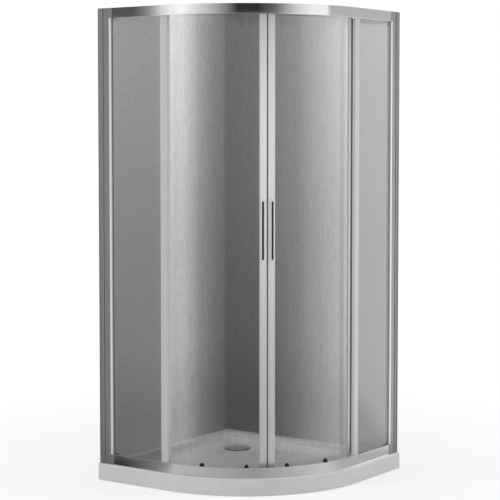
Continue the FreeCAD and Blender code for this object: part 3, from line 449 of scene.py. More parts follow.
class Shape:
    """A mesh in the making. Its moves take millimetres."""

    def __init__(self) -> None:
        """Start with an empty mesh."""
        self.mesh = bmesh.new()

    def outline(self, spots: list[Spot], rounding: float = 0.0, steps: int = 2) -> bmesh.types.BMFace:
        """Draw a flat face and round its corners.

        Args:
            spots: Its corners in order.
            rounding: Radius of the corners.
            steps: Facets of each rounded corner.

        Returns:
            The face.
        """
        before = set(self.mesh.faces)
        face = self.mesh.faces.new([self.mesh.verts.new(Vector(spot) * MM) for spot in spots])
        if rounding:
            bmesh.ops.bevel(self.mesh, geom=face.verts[:], offset=rounding * MM, offset_type="OFFSET",
                            affect="VERTICES", segments=steps, profile=0.5, material=-1, clamp_overlap=True)
        return next(item for item in self.mesh.faces if item not in before)

    def drop_inner(self, face: bmesh.types.BMFace) -> None:
        """Delete a face that an extrusion has left inside the shape."""
        if face.is_valid and all(len(edge.link_faces) > 2 for edge in face.edges):
            bmesh.ops.delete(self.mesh, geom=[face], context="FACES_ONLY")

    def pull(self, face: bmesh.types.BMFace, move: Spot) -> bmesh.types.BMFace:
        """Extrude a face.

        Args:
            face: The face.
            move: How far it goes.

        Returns:
            The face at the far end.
        """
        made = bmesh.ops.extrude_face_region(self.mesh, geom=[face])["geom"]
        far = [item for item in made if isinstance(item, bmesh.types.BMVert)]
        bmesh.ops.translate(self.mesh, verts=far, vec=Vector(move) * MM)
        self.drop_inner(face)
        return next(item for item in made if isinstance(item, bmesh.types.BMFace))

    def swing(self, face: bmesh.types.BMFace, centre: Vector, degrees: float,
              steps: int) -> bmesh.types.BMFace:
        """Extrude a face round an upright axis.

        Args:
            face: The face.
            centre: A point of the axis, in metres.
            degrees: How far it goes.
            steps: Facets along the way.

        Returns:
            The face at the far end.
        """
        made = bmesh.ops.spin(self.mesh, geom=[face], cent=centre, axis=(0, 0, 1), steps=steps,
                              angle=math.radians(degrees), use_merge=False, use_duplicate=False)["geom_last"]
        self.drop_inner(face)
        return next(item for item in made if isinstance(item, bmesh.types.BMFace))

    def lathe(self, spots: list[Spot], centre: Spot, axis: Spot, steps: int, closed: bool = False) -> None:
        """Turn a profile all the way round an axis.

        Args:
            spots: Corners of the profile in order.
            centre: A point of the axis.
            axis: Direction of the axis.
            steps: Facets round the axis.
            closed: True where the profile is a ring that doesn't reach the axis.
        """
        row = [self.mesh.verts.new(Vector(spot) * MM) for spot in spots]
        ends = row[1:] + row[:1] if closed else row[1:]
        edges = [self.mesh.edges.new(pair) for pair in zip(row, ends)]
        bmesh.ops.spin(self.mesh, geom=row + edges, cent=Vector(centre) * MM, axis=axis, angle=2 * math.pi,
                       steps=steps, use_merge=True, use_duplicate=False)

    def soften(self, width: float, steps: int, wanted: Callable[[bmesh.types.BMEdge], bool]) -> None:
        """Round the edges that a test picks.

        Args:
            width: Width of the rounding.
            steps: Facets across it.
            wanted: The test.
        """
        edges = [edge for edge in self.mesh.edges if wanted(edge)]
        bmesh.ops.bevel(self.mesh, geom=edges, offset=width * MM, offset_type="OFFSET", affect="EDGES",
                        segments=steps, profile=0.5, material=-1, clamp_overlap=True)

    def place(self, matrix: Matrix) -> None:
        """Move the whole shape to other axes."""
        bmesh.ops.transform(self.mesh, matrix=matrix, verts=self.mesh.verts)

    def to_side(self, side: Side) -> None:
        """Mirror a shape of the left half where the right half is asked for."""
        if side is Side.RIGHT:
            self.place(MIRROR)

    def take(self, other: "Shape") -> None:
        """Add another shape.

        Args:
            other: The other shape, which is used up.
        """
        holder = bpy.data.meshes.new("holder")
        other.mesh.to_mesh(holder)
        other.mesh.free()
        self.mesh.from_mesh(holder)
        bpy.data.meshes.remove(holder)

    def piece(self, name: str, finish: Finish, slot: str, body: str, *nodes: str) -> bpy.types.Object:
        """Make an object of the shape and dress it.

        Args:
            name: Name of the piece.
            finish: Its finish.
            slot: Material slot of the record; not used.
            body: Body that it moves with.
            *nodes: Frame nodes that it stands for.

        Returns:
            The object.
        """
        bmesh.ops.remove_doubles(self.mesh, verts=self.mesh.verts, dist=MERGE_DISTANCE)
        bmesh.ops.recalc_face_normals(self.mesh, faces=self.mesh.faces)
        for face in self.mesh.faces:
            face.smooth = True
        mesh = bpy.data.meshes.new(name)
        self.mesh.to_mesh(mesh)
        self.mesh.free()
        mesh.set_sharp_from_angle(angle=SHARP_ANGLE)
        mesh.materials.append(finish.material())
        made = bpy.data.objects.new(name, mesh)
        bpy.context.scene.collection.objects.link(made)
        # Broad faces stay flat in the light next to their rounded corners
        flat = made.modifiers.new("flat_faces", "WEIGHTED_NORMAL")
        flat.mode = "FACE_AREA"
        flat.weight = FLAT_FACE_WEIGHT
        flat.keep_sharp = True
        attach(made, body)
        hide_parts(*nodes)
        return made


def upright(section: Section, low: float, high: float, rounding: float, axes: Matrix, side: Side) -> Shape:
    """Stand a section up as an extruded profile of one half.

    Args:
        section: Corners of the section in the first two axes.
        low: Height of its foot.
        high: Height of its top.
        rounding: Radius of its corners.
        axes: Axes that the section is drawn in, for the left half.
        side: Half that gets it.

    Returns:
        The profile.
    """
    shape = Shape()
    face = shape.outline([(first, second, low) for first, second in section], rounding, SECTION_STEPS)
    shape.pull(face, (0, 0, high - low))
    shape.place(axes)
    shape.to_side(side)
    return shape


@dataclass(frozen=True)
class RailPair:
    """The two bent rails. Heights in the sections count from each rail's lower edge."""

    wall: float = 1.8
    groove_back: float = 14.2
    ledge: float = 12.0
    ledge_lip: float = 4.0
    upper_lip: float = 7.0
    floor: float = 2.0
    floor_lip: float = 5.0
    groove_wall: float = 26.0
    corner: float = 0.7
    bend_steps: int = 90

    def build(self) -> Pieces:
        """Make both rails."""
        sections = {Level.TOP: self.top_section(), Level.BOTTOM: self.bottom_section()}
        return [self.make_rail(level, section) for level, section in sections.items()]

    def top_section(self) -> Section:
        """Draw the section of the top rail: front apron, glass groove, ledge for the wheels and lips.

        Returns:
            Setback and height of its corners.
        """
        wall, depth, height = self.wall, PLAN.rail_depth, PLAN.rail_height
        web = height - wall
        ledge_base = self.ledge - wall
        groove = self.groove_back
        return [
            (0, 0), (wall, 0), (wall, web), (groove, web), (groove, ledge_base), (depth, ledge_base),
            (depth, self.ledge + self.ledge_lip), (depth - wall, self.ledge + self.ledge_lip),
            (depth - wall, self.ledge), (groove + wall, self.ledge), (groove + wall, web),
            (depth - wall, web), (depth - wall, web - self.upper_lip), (depth, web - self.upper_lip),
            (depth, height), (0, height),
        ]

    def bottom_section(self) -> Section:
        """Draw the section of the bottom rail: front apron, glass groove, track and lip.

        Returns:
            Setback and height of its corners.
        """
        wall, depth, floor = self.wall, PLAN.rail_depth, self.floor
        groove = self.groove_back
        return [
            (0, 0), (depth, 0), (depth, self.floor_lip), (depth - wall, self.floor_lip),
            (depth - wall, floor), (groove + wall, floor), (groove + wall, self.groove_wall),
            (groove, self.groove_wall), (groove, floor), (wall, floor), (wall, PLAN.rail_height),
            (0, PLAN.rail_height),
        ]

    def make_rail(self, level: Level, section: Section) -> bpy.types.Object:
        """Run a section along one pane, round the bend and along the other pane.

        Args:
            level: Which rail it is.
            section: Setback and height of its corners.

        Returns:
            The piece.
        """
        base = PLAN.rail_base(level)
        run = PLAN.straight - PLAN.rail_start
        shape = Shape()
        corners = [(PLAN.rail_start, setback, base + height) for setback, height in section]
        face = shape.pull(shape.outline(corners, self.corner), (run, 0, 0))
        shape.place(PLAN.at_wall())
        face = shape.swing(face, PLAN.arc_centre(), QUARTER_TURN, self.bend_steps)
        shape.pull(face, (0, run, 0))
        node = f"{level.value}_rail"
        return shape.piece(f"bent_{node}", CHROME, "rail_chrome", ROOT_BODY, node)


@dataclass(frozen=True)
class WallSide:
    """Trim of one fixed pane: edge channel, corner blocks, cap and screws.

    Sizes along the pane count from the wall, and sizes across it from the outer face of the rails inward.

    Attributes:
        side: Half that the trim belongs to.
        top_tongue: Lower and upper edge of the tongue of the top block, above the rail's lower edge.
        bottom_tongue: The same for the bottom block.
        screw_head: Height above the seat and radius of each corner of a screw head.
    """

    side: Side
    channel_front: float = 3.7
    channel_back: float = 12.3
    channel_wall: float = 1.2
    channel_start: float = 316.0
    channel_back_start: float = 329.0
    channel_web: float = 343.1
    channel_end: float = 346.0
    channel_rounding: float = 0.5
    slot_front: float = 3.6
    slot_back: float = 12.4
    block_web: float = 4.0
    block_rounding: float = 1.0
    tongue_front: float = 16.6
    tongue_depth: float = 6.0
    tongue_length: float = 30.0
    tongue_rounding: float = 0.8
    top_tongue: Pair = (12.6, 38.6)
    bottom_tongue: Pair = (2.6, 26.0)
    cap_depth: float = 32.0
    cap_thickness: float = 3.0
    cap_corner: float = 2.5
    cap_corner_steps: int = 4
    cap_rim: float = 1.0
    cap_rim_steps: int = 3
    screw_reach: float = 17.0
    screw_tip: float = 25.4
    screw_point: float = 1.2
    screw_seat: float = 32.0
    screw_shank: float = 1.75
    screw_head: Pairs = ((0.0, 3.6), (0.9, 3.6), (1.6, 2.9), (2.0, 1.7), (0.8, 1.3), (0.8, 0.0))
    screw_heights: tuple[float, ...] = (328.0, 993.0, 1658.0)
    screw_steps: int = 18

    def build(self) -> Pieces:
        """Make the trim of this half."""
        channel = self.make_channel()
        return [channel, *[self.make_block(level) for level in Level], self.make_cap(), self.make_screws()]

    def make_channel(self) -> bpy.types.Object:
        """Bright channel on the free edge of the pane.

        Returns:
            The piece.
        """
        inner_front = self.channel_front + self.channel_wall
        inner_back = self.channel_back - self.channel_wall
        section = [
            (self.channel_start, self.channel_front), (self.channel_end, self.channel_front),
            (self.channel_end, self.channel_back), (self.channel_back_start, self.channel_back),
            (self.channel_back_start, inner_back), (self.channel_web, inner_back),
            (self.channel_web, inner_front), (self.channel_start, inner_front),
        ]
        shape = upright(section, PLAN.bottom_rail_top(), PLAN.rail_base(Level.TOP), self.channel_rounding,
                        PLAN.at_wall(), self.side)
        return shape.piece(self.side.name_of("edge_channel"), BRIGHT, "bright_aluminium", ROOT_BODY,
                           self.side.name_of("edge_profile"))

    def make_block(self, level: Level) -> bpy.types.Object:
        """Cast block that closes a rail end, with a slot for the pane and a tongue into the rail.

        Args:
            level: Rail that it closes. A pane enters the bottom block from above, the top one from below.

        Returns:
            The piece.
        """
        base, height, depth = PLAN.rail_base(level), PLAN.rail_height, PLAN.rail_depth
        section = [
            (0, 0), (self.slot_front, 0), (self.slot_front, height - self.block_web),
            (self.slot_back, height - self.block_web), (self.slot_back, 0), (depth, 0), (depth, height),
            (0, height),
        ]
        low, high = self.top_tongue
        if level is Level.BOTTOM:
            section = [(setback, height - up) for setback, up in section]
            low, high = self.bottom_tongue
        shape = Shape()
        corners = [(PLAN.jamb_end, setback, base + up) for setback, up in section]
        face = shape.outline(corners, self.block_rounding, SECTION_STEPS)
        shape.pull(face, (PLAN.rail_start - PLAN.jamb_end, 0, 0))
        back = self.tongue_front + self.tongue_depth
        tongue = [(self.tongue_front, low), (back, low), (back, high), (self.tongue_front, high)]
        corners = [(PLAN.rail_start, setback, base + up) for setback, up in tongue]
        shape.pull(shape.outline(corners, self.tongue_rounding), (self.tongue_length, 0, 0))
        shape.place(PLAN.at_wall())
        shape.to_side(self.side)
        return shape.piece(self.side.name_of(f"rail_end_block_{level.value}"), SATIN, "satin_aluminium",
                           ROOT_BODY, self.side.name_of(f"corner_{level.value}"))

    def make_cap(self) -> bpy.types.Object:
        """Moulded cap over the wall profile and the jamb.

        Returns:
            The piece.
        """
        base = PLAN.total_height - self.cap_thickness
        corners = [(0, 0, base), (PLAN.jamb_end, 0, base), (PLAN.jamb_end, self.cap_depth, base),
                   (0, self.cap_depth, base)]
        shape = Shape()
        shape.pull(shape.outline(corners, self.cap_corner, self.cap_corner_steps), (0, 0, self.cap_thickness))
        top = PLAN.total_height * MM - MERGE_DISTANCE
        shape.soften(self.cap_rim, self.cap_rim_steps,
                     lambda edge: all(vert.co.z > top for vert in edge.verts))
        shape.place(PLAN.at_wall())
        shape.to_side(self.side)
        return shape.piece(self.side.name_of("moulded_cap"), GREY_ABS, "grey_plastic", ROOT_BODY,
                           self.side.name_of("profile_cap"))

    def make_screws(self) -> bpy.types.Object:
        """Pan-head screws that hold the jamb in the wall profile.

        Returns:
            The piece.
        """
        seat, shank = self.screw_seat, self.screw_shank
        profile = [(self.screw_tip, 0.0), (self.screw_tip + self.screw_point, shank), (seat, shank)]
        profile += [(seat + out, radius) for out, radius in self.screw_head]
        shape = Shape()
        for height in self.screw_heights:
            spots = [(self.screw_reach + radius, setback, height) for setback, radius in profile]
            shape.lathe(spots, (self.screw_reach, 0, height), (0, 1, 0), self.screw_steps)
        shape.place(PLAN.at_wall())
        shape.to_side(self.side)
        return shape.piece(self.side.name_of("pan_head_screws"), STEEL, "steel", ROOT_BODY,
                           self.side.name_of("jamb_screws"))


@dataclass(frozen=True)
class SlidingDoor:
    """Trim and rollers of one bent door. Radii count from the arc centre.

    Attributes:
        side: Half that the door belongs to.
        handle_size: Width and height of the handle's plate.
        grip_size: Width and height of its finger groove.
        grip_end_share: Radius of the groove's ends as a share of its width.
        axle_dome: Height above its seat and half width of each corner of an axle's cap.
        bolt_dome: The same for a bolt's cap.
        top_wheel: Radius and height of the top wheels.
        bottom_wheel: Radius and height of the bottom wheels.
    """

    side: Side
    stile_inner: float = 481.5
    stile_outer: float = 498.0
    stile_near: float = 2.5
    stile_far: float = 30.0
    stile_rounding: float = 1.2
    slot_inner: float = 485.8
    slot_outer: float = 493.3
    slot_depth: float = 16.5
    groove_inner: float = 485.1
    groove_outer: float = 494.9
    groove_end: float = 9.0
    outer_turn: float = 50.5
    outer_width: float = 30.0
    inner_width: float = 22.0
    outer_cheek: float = 4.0
    handle_offset: float = 19.0
    handle_height: float = 1037.0
    handle_size: Pair = (20.0, 250.0)
    handle_thickness: float = 7.0
    handle_corner: float = 5.0
    handle_corner_steps: int = 6
    handle_rim: float = 1.3
    handle_rim_steps: int = 4
    handle_rim_angle: float = 1.0
    grip_size: Pair = (8.0, 229.0)
    grip_depth: float = 5.5
    grip_end_share: float = 0.49
    seat_gap: float = 0.2
    axle_dome: Pairs = ((5.0, 0.0), (4.9, 4.5), (4.4, 7.5), (3.4, 9.4), (2.2, 10.0), (0.0, 10.0))
    axle_shank: float = 5.7
    axle_flange: float = 9.0
    axle_flange_thickness: float = 4.0
    axle_flange_bevel: float = 0.6
    axle_steps: int = 32
    neck_radius: float = 4.0
    journal_radius: float = 3.0
    retainer_radius: float = 4.5
    retainer_thickness: float = 1.5
    retainer_bevel: float = 0.3
    bolt_dome: Pairs = ((4.0, 0.0), (3.9, 3.6), (3.5, 6.2), (2.8, 7.5), (1.8, 8.0), (0.0, 8.0))
    bolt_radius: float = 3.0
    bolt_end: float = 497.0
    bolt_bevel: float = 0.2
    bolt_height: float = 104.0
    bolt_steps: int = 28
    arm_front: float = 498.2
    arm_thickness: float = 5.0
    arm_foot: float = 74.0
    arm_shoulder: float = 101.0
    arm_top: float = 114.0
    arm_half_width: float = 9.0
    arm_half_head: float = 4.0
    arm_corner: float = 2.0
    arm_corner_steps: int = 4
    arm_rim: float = 0.8
    arm_rim_steps: int = 3
    pin_sink: float = 2.5
    pin_steps: int = 24
    wheel_line: float = 513.0
    wheel_width: float = 7.0
    wheel_gap: float = 0.3
    wheel_bore: float = 3.05
    wheel_hub: float = 4.6
    wheel_slope: float = 0.6
    wheel_recess: float = 0.9
    wheel_rim: float = 1.8
    wheel_chamfer: float = 0.8
    tread_groove: float = 0.6
    tread_groove_floor: float = 0.2
    tread_groove_depth: float = 0.4
    wheel_steps: int = 36
    top_wheel: Pair = (10.0, 1899.3)
    bottom_wheel: Pair = (9.0, 79.3)

    def build(self) -> Pieces:
        """Make the trim and the wheels of this door.

        Returns:
            The pieces.
        """
        made = [self.make_meeting_stile(), self.make_outer_stile(), self.make_handle(), self.make_axles(),
                self.make_bolts(), self.make_arms()]
        for level in Level:
            made += [self.make_wheel(level, roller) for roller in Roller]
        return made

    def make_meeting_stile(self) -> bpy.types.Object:
        """Silver stile on the meeting edge, with a groove for the magnet and a slot for the glass.

        Returns:
            The piece.
        """
        slot_end = self.stile_far - self.slot_depth
        section = [
            (self.stile_inner, self.stile_near), (self.groove_inner, self.stile_near),
            (self.groove_inner, self.groove_end), (self.groove_outer, self.groove_end),
            (self.groove_outer, self.stile_near), (self.stile_outer, self.stile_near),
            (self.stile_outer, self.stile_far), (self.slot_outer, self.stile_far),
            (self.slot_outer, slot_end), (self.slot_inner, slot_end), (self.slot_inner, self.stile_far),
            (self.stile_inner, self.stile_far),
        ]
        shape = upright(section, PLAN.door_base, PLAN.door_top, self.stile_rounding, PLAN.at_turn(0),
                        self.side)
        return shape.piece(self.side.name_of("silver_meeting_stile"), SILVER, "bright_aluminium",
                           self.side.door(), self.side.name_of("meeting_stile"))

    def make_outer_stile(self) -> bpy.types.Object:
        """Pale channel on the outer edge of the glass.

        Returns:
            The piece.
        """
        inner = PLAN.door_inside - self.outer_cheek
        outer = PLAN.door_outside + self.outer_cheek
        slot_end = self.slot_depth - self.outer_width
        section = [
            (inner, 0), (outer, 0), (outer, -self.outer_width), (self.slot_outer, -self.outer_width),
            (self.slot_outer, slot_end), (self.slot_inner, slot_end), (self.slot_inner, -self.inner_width),
            (inner, -self.inner_width),
        ]
        shape = upright(section, PLAN.door_base, PLAN.door_top, self.stile_rounding,
                        PLAN.at_turn(self.outer_turn), self.side)
        return shape.piece(self.side.name_of("pale_outer_stile"), STILE, "bright_aluminium", self.side.door(),
                           self.side.name_of("outer_stile"))

    def plate_corners(self, along: float, size: Pair) -> list[Spot]:
        """Draw an upright rectangle about the middle of the handle.

        Args:
            along: Its distance from the arc centre.
            size: Its width and height.

        Returns:
            Its corners in order.
        """
        wide, tall = size[0] / 2, size[1] / 2
        rows = ((-wide, -tall), (wide, -tall), (wide, tall), (-wide, tall))
        return [(along, self.handle_offset + aside, self.handle_height + up) for aside, up in rows]

    def make_handle(self) -> bpy.types.Object:
        """Chrome plate with rounded rims and an upright finger groove.

        Returns:
            The piece.
        """
        seat = self.stile_outer
        front = seat + self.handle_thickness
        shape = Shape()
        back = shape.outline(self.plate_corners(seat, self.handle_size), self.handle_corner,
                             self.handle_corner_steps)
        plate = shape.pull(back, (self.handle_thickness, 0, 0))
        slot = shape.outline(self.plate_corners(front, self.grip_size),
                             self.grip_size[0] * self.grip_end_share, self.handle_corner_steps)
        shape.pull(slot, (-self.grip_depth, 0, 0))
        rims = plate.edges[:] + slot.edges[:]
        bmesh.ops.delete(shape.mesh, geom=[plate, slot], context="FACES_ONLY")
        bmesh.ops.bridge_loops(shape.mesh, edges=rims)
        bmesh.ops.recalc_face_normals(shape.mesh, faces=shape.mesh.faces)
        level = front * MM - MERGE_DISTANCE
        shape.soften(self.handle_rim, self.handle_rim_steps,
                     lambda edge: all(vert.co.x > level for vert in edge.verts)
                     and edge.calc_face_angle(0.0) > self.handle_rim_angle)
        shape.place(PLAN.at_turn(0))
        shape.to_side(self.side)
        return shape.piece(self.side.name_of("grip_plate"), SATIN_CHROME, "chrome_trim", self.side.door(),
                           self.side.name_of("handle"))

    def pins(self, profile: Section, height: float, steps: int) -> Shape:
        """Turn a profile about the axle line of each roller.

        Args:
            profile: Radius from the arc centre and half thickness of its corners.
            height: Height of the axle line.
            steps: Facets round it.

        Returns:
            Both turned parts.
        """
        both = Shape()
        for roller in Roller:
            single = Shape()
            spots = [(along, thick, height) for along, thick in profile]
            single.lathe(spots, (0, 0, height), (1, 0, 0), steps)
            single.place(PLAN.at_turn(roller.value))
            both.take(single)
        both.to_side(self.side)
        return both

    def journal(self) -> Section:
        """Draw the end that a wheel turns on: end of the neck, journal and retainer.

        Returns:
            Radius from the arc centre and half thickness of its corners.
        """
        near = self.wheel_line - self.wheel_width / 2 - self.wheel_gap
        far = self.wheel_line + self.wheel_width / 2 + self.wheel_gap
        tip = far + self.retainer_thickness
        rim, bevel = self.retainer_radius, self.retainer_bevel
        return [
            (near, self.neck_radius), (near, self.journal_radius), (far, self.journal_radius), (far, rim),
            (tip - bevel, rim), (tip, rim - bevel), (tip, 0.0),
        ]

    def make_axles(self) -> bpy.types.Object:
        """Turned axles of the top wheels, with a domed cap on the inside of the glass.

        Returns:
            The piece.
        """
        inside = PLAN.door_inside - self.seat_gap
        outside = PLAN.door_outside + self.seat_gap
        flange_end = outside + self.axle_flange_thickness
        profile = [(inside - out, thick) for out, thick in self.axle_dome]
        profile += [
            (inside, self.axle_shank), (outside, self.axle_shank), (outside, self.axle_flange),
            (flange_end - self.axle_flange_bevel, self.axle_flange),
            (flange_end, self.axle_flange - self.axle_flange_bevel), (flange_end, self.neck_radius),
        ]
        shape = self.pins(profile + self.journal(), self.top_wheel[1], self.axle_steps)
        return shape.piece(self.side.name_of("turned_axles"), STEEL, "steel", self.side.door(),
                           self.side.name_of("top_axles"))

    def make_bolts(self) -> bpy.types.Object:
        """Chrome cap bolts that clamp the roller arms to the glass.

        Returns:
            The piece.
        """
        inside = PLAN.door_inside - self.seat_gap
        profile = [(inside - out, thick) for out, thick in self.bolt_dome]
        profile += [
            (inside, self.bolt_radius), (self.bolt_end - self.bolt_bevel, self.bolt_radius),
            (self.bolt_end, self.bolt_radius - self.bolt_bevel), (self.bolt_end, 0.0),
        ]
        shape = self.pins(profile, self.bolt_height, self.bolt_steps)
        return shape.piece(self.side.name_of("cap_bolts"), TRIM, "chrome_trim", self.side.door(),
                           self.side.name_of("arm_bolts"))

    def make_arms(self) -> bpy.types.Object:
        """Moulded arms with a tapered head, each with the pin of its bottom wheel.

        Returns:
            The piece.
        """
        pin_start = self.arm_front - self.pin_sink
        profile = [(pin_start, 0.0), (pin_start, self.neck_radius)]
        shape = self.pins(profile + self.journal(), self.bottom_wheel[1], self.pin_steps)
        wide, narrow = self.arm_half_width, self.arm_half_head
        section = [
            (-wide, self.arm_foot), (wide, self.arm_foot), (wide, self.arm_shoulder), (narrow, self.arm_top),
            (-narrow, self.arm_top), (-wide, self.arm_shoulder),
        ]
        corners = [(self.arm_front - self.arm_thickness, aside, up) for aside, up in section]
        level = self.arm_front * MM - MERGE_DISTANCE
        for roller in Roller:
            arm = Shape()
            seat = arm.outline(corners, self.arm_corner, self.arm_corner_steps)
            arm.pull(seat, (self.arm_thickness, 0, 0))
            arm.soften(self.arm_rim, self.arm_rim_steps,
                       lambda edge: all(vert.co.x > level for vert in edge.verts))
            arm.place(PLAN.at_turn(roller.value))
            arm.to_side(self.side)
            shape.take(arm)
        return shape.piece(self.side.name_of("moulded_roller_arms"), BLACK_ABS, "black_plastic",
                           self.side.door(), self.side.name_of("roller_arms"))

    def make_wheel(self, level: Level, roller: Roller) -> bpy.types.Object:
        """Nylon wheel with a hub, a recessed web and a grooved tread.

        Args:
            level: Rail that it runs in.
            roller: Which roller it is.

        Returns:
            The piece.
        """
        radius, height = self.top_wheel if level is Level.TOP else self.bottom_wheel
        middle = self.wheel_width / 2
        inner = self.wheel_line - middle
        half = [
            (0.0, self.wheel_bore), (0.0, self.wheel_hub),
            (self.wheel_recess, self.wheel_hub + self.wheel_slope),
            (self.wheel_recess, radius - self.wheel_rim - self.wheel_slope), (0.0, radius - self.wheel_rim),
            (0.0, radius - self.wheel_chamfer), (self.wheel_chamfer, radius),
            (middle - self.tread_groove, radius),
            (middle - self.tread_groove_floor, radius - self.tread_groove_depth),
        ]
        far = [(self.wheel_width - along, thick) for along, thick in reversed(half)]
        spots = [(inner + along, thick, height) for along, thick in half + far]
        shape = Shape()
        shape.lathe(spots, (0, 0, height), (1, 0, 0), self.wheel_steps, True)
        shape.place(PLAN.at_turn(roller.value))
        shape.to_side(self.side)
        node = f"{level.value}_wheel_{self.side.value}_{roller.name.lower()}"
        return shape.piece(f"nylon_{node}", NYLON, "white_nylon", node, node)


@dataclass(frozen=True)
class WasteSet:
    """Waste cover in the tray. Radii count from the drain's own axis.

    Attributes:
        drain: Place of the drain in the plan.
        crown: Distance inward from the rim and height above the base of each corner of the domed top.
    """

    drain: Pair = (-245.0, 245.0)
    cover_radius: float = 48.0
    cover_base: float = 39.5
    cover_bevel: float = 0.6
    crown: Pairs = ((0.0, 1.1), (0.5, 1.9), (2.0, 2.5), (6.0, 2.95), (18.24, 3.3), (33.6, 3.45), (48.0, 3.5))
    skirt_outer: float = 35.7
    skirt_inner: float = 33.2
    skirt_foot: float = 30.5
    cover_steps: int = 72

    def build(self) -> Pieces:
        """Make the domed cover with its skirt.

        Returns:
            The piece, alone in a list.
        """
        edge, base, bevel = self.cover_radius, self.cover_base, self.cover_bevel
        profile = [
            (0.0, base), (self.skirt_inner, base), (self.skirt_inner, self.skirt_foot),
            (self.skirt_outer, self.skirt_foot), (self.skirt_outer, base), (edge - bevel, base),
            (edge, base + bevel),
        ]
        profile += [(edge - inward, base + up) for inward, up in self.crown]
        shape = Shape()
        spots = [(radius, 0, height) for radius, height in profile]
        shape.lathe(spots, (0, 0, 0), (0, 0, 1), self.cover_steps)
        shape.place(Matrix.Translation(Vector((*self.drain, 0)) * MM))
        return [shape.piece("domed_waste_cover", COVER, "chrome_trim", "waste_cover", "waste_cover")]


@dataclass(frozen=True)
class SoftLamp:
    """A large soft lamp for matt faces. Its place and size are metres, its power watts."""

    name: str
    spot: Spot
    power: float
    size: Pair = (1.4, 2.4)


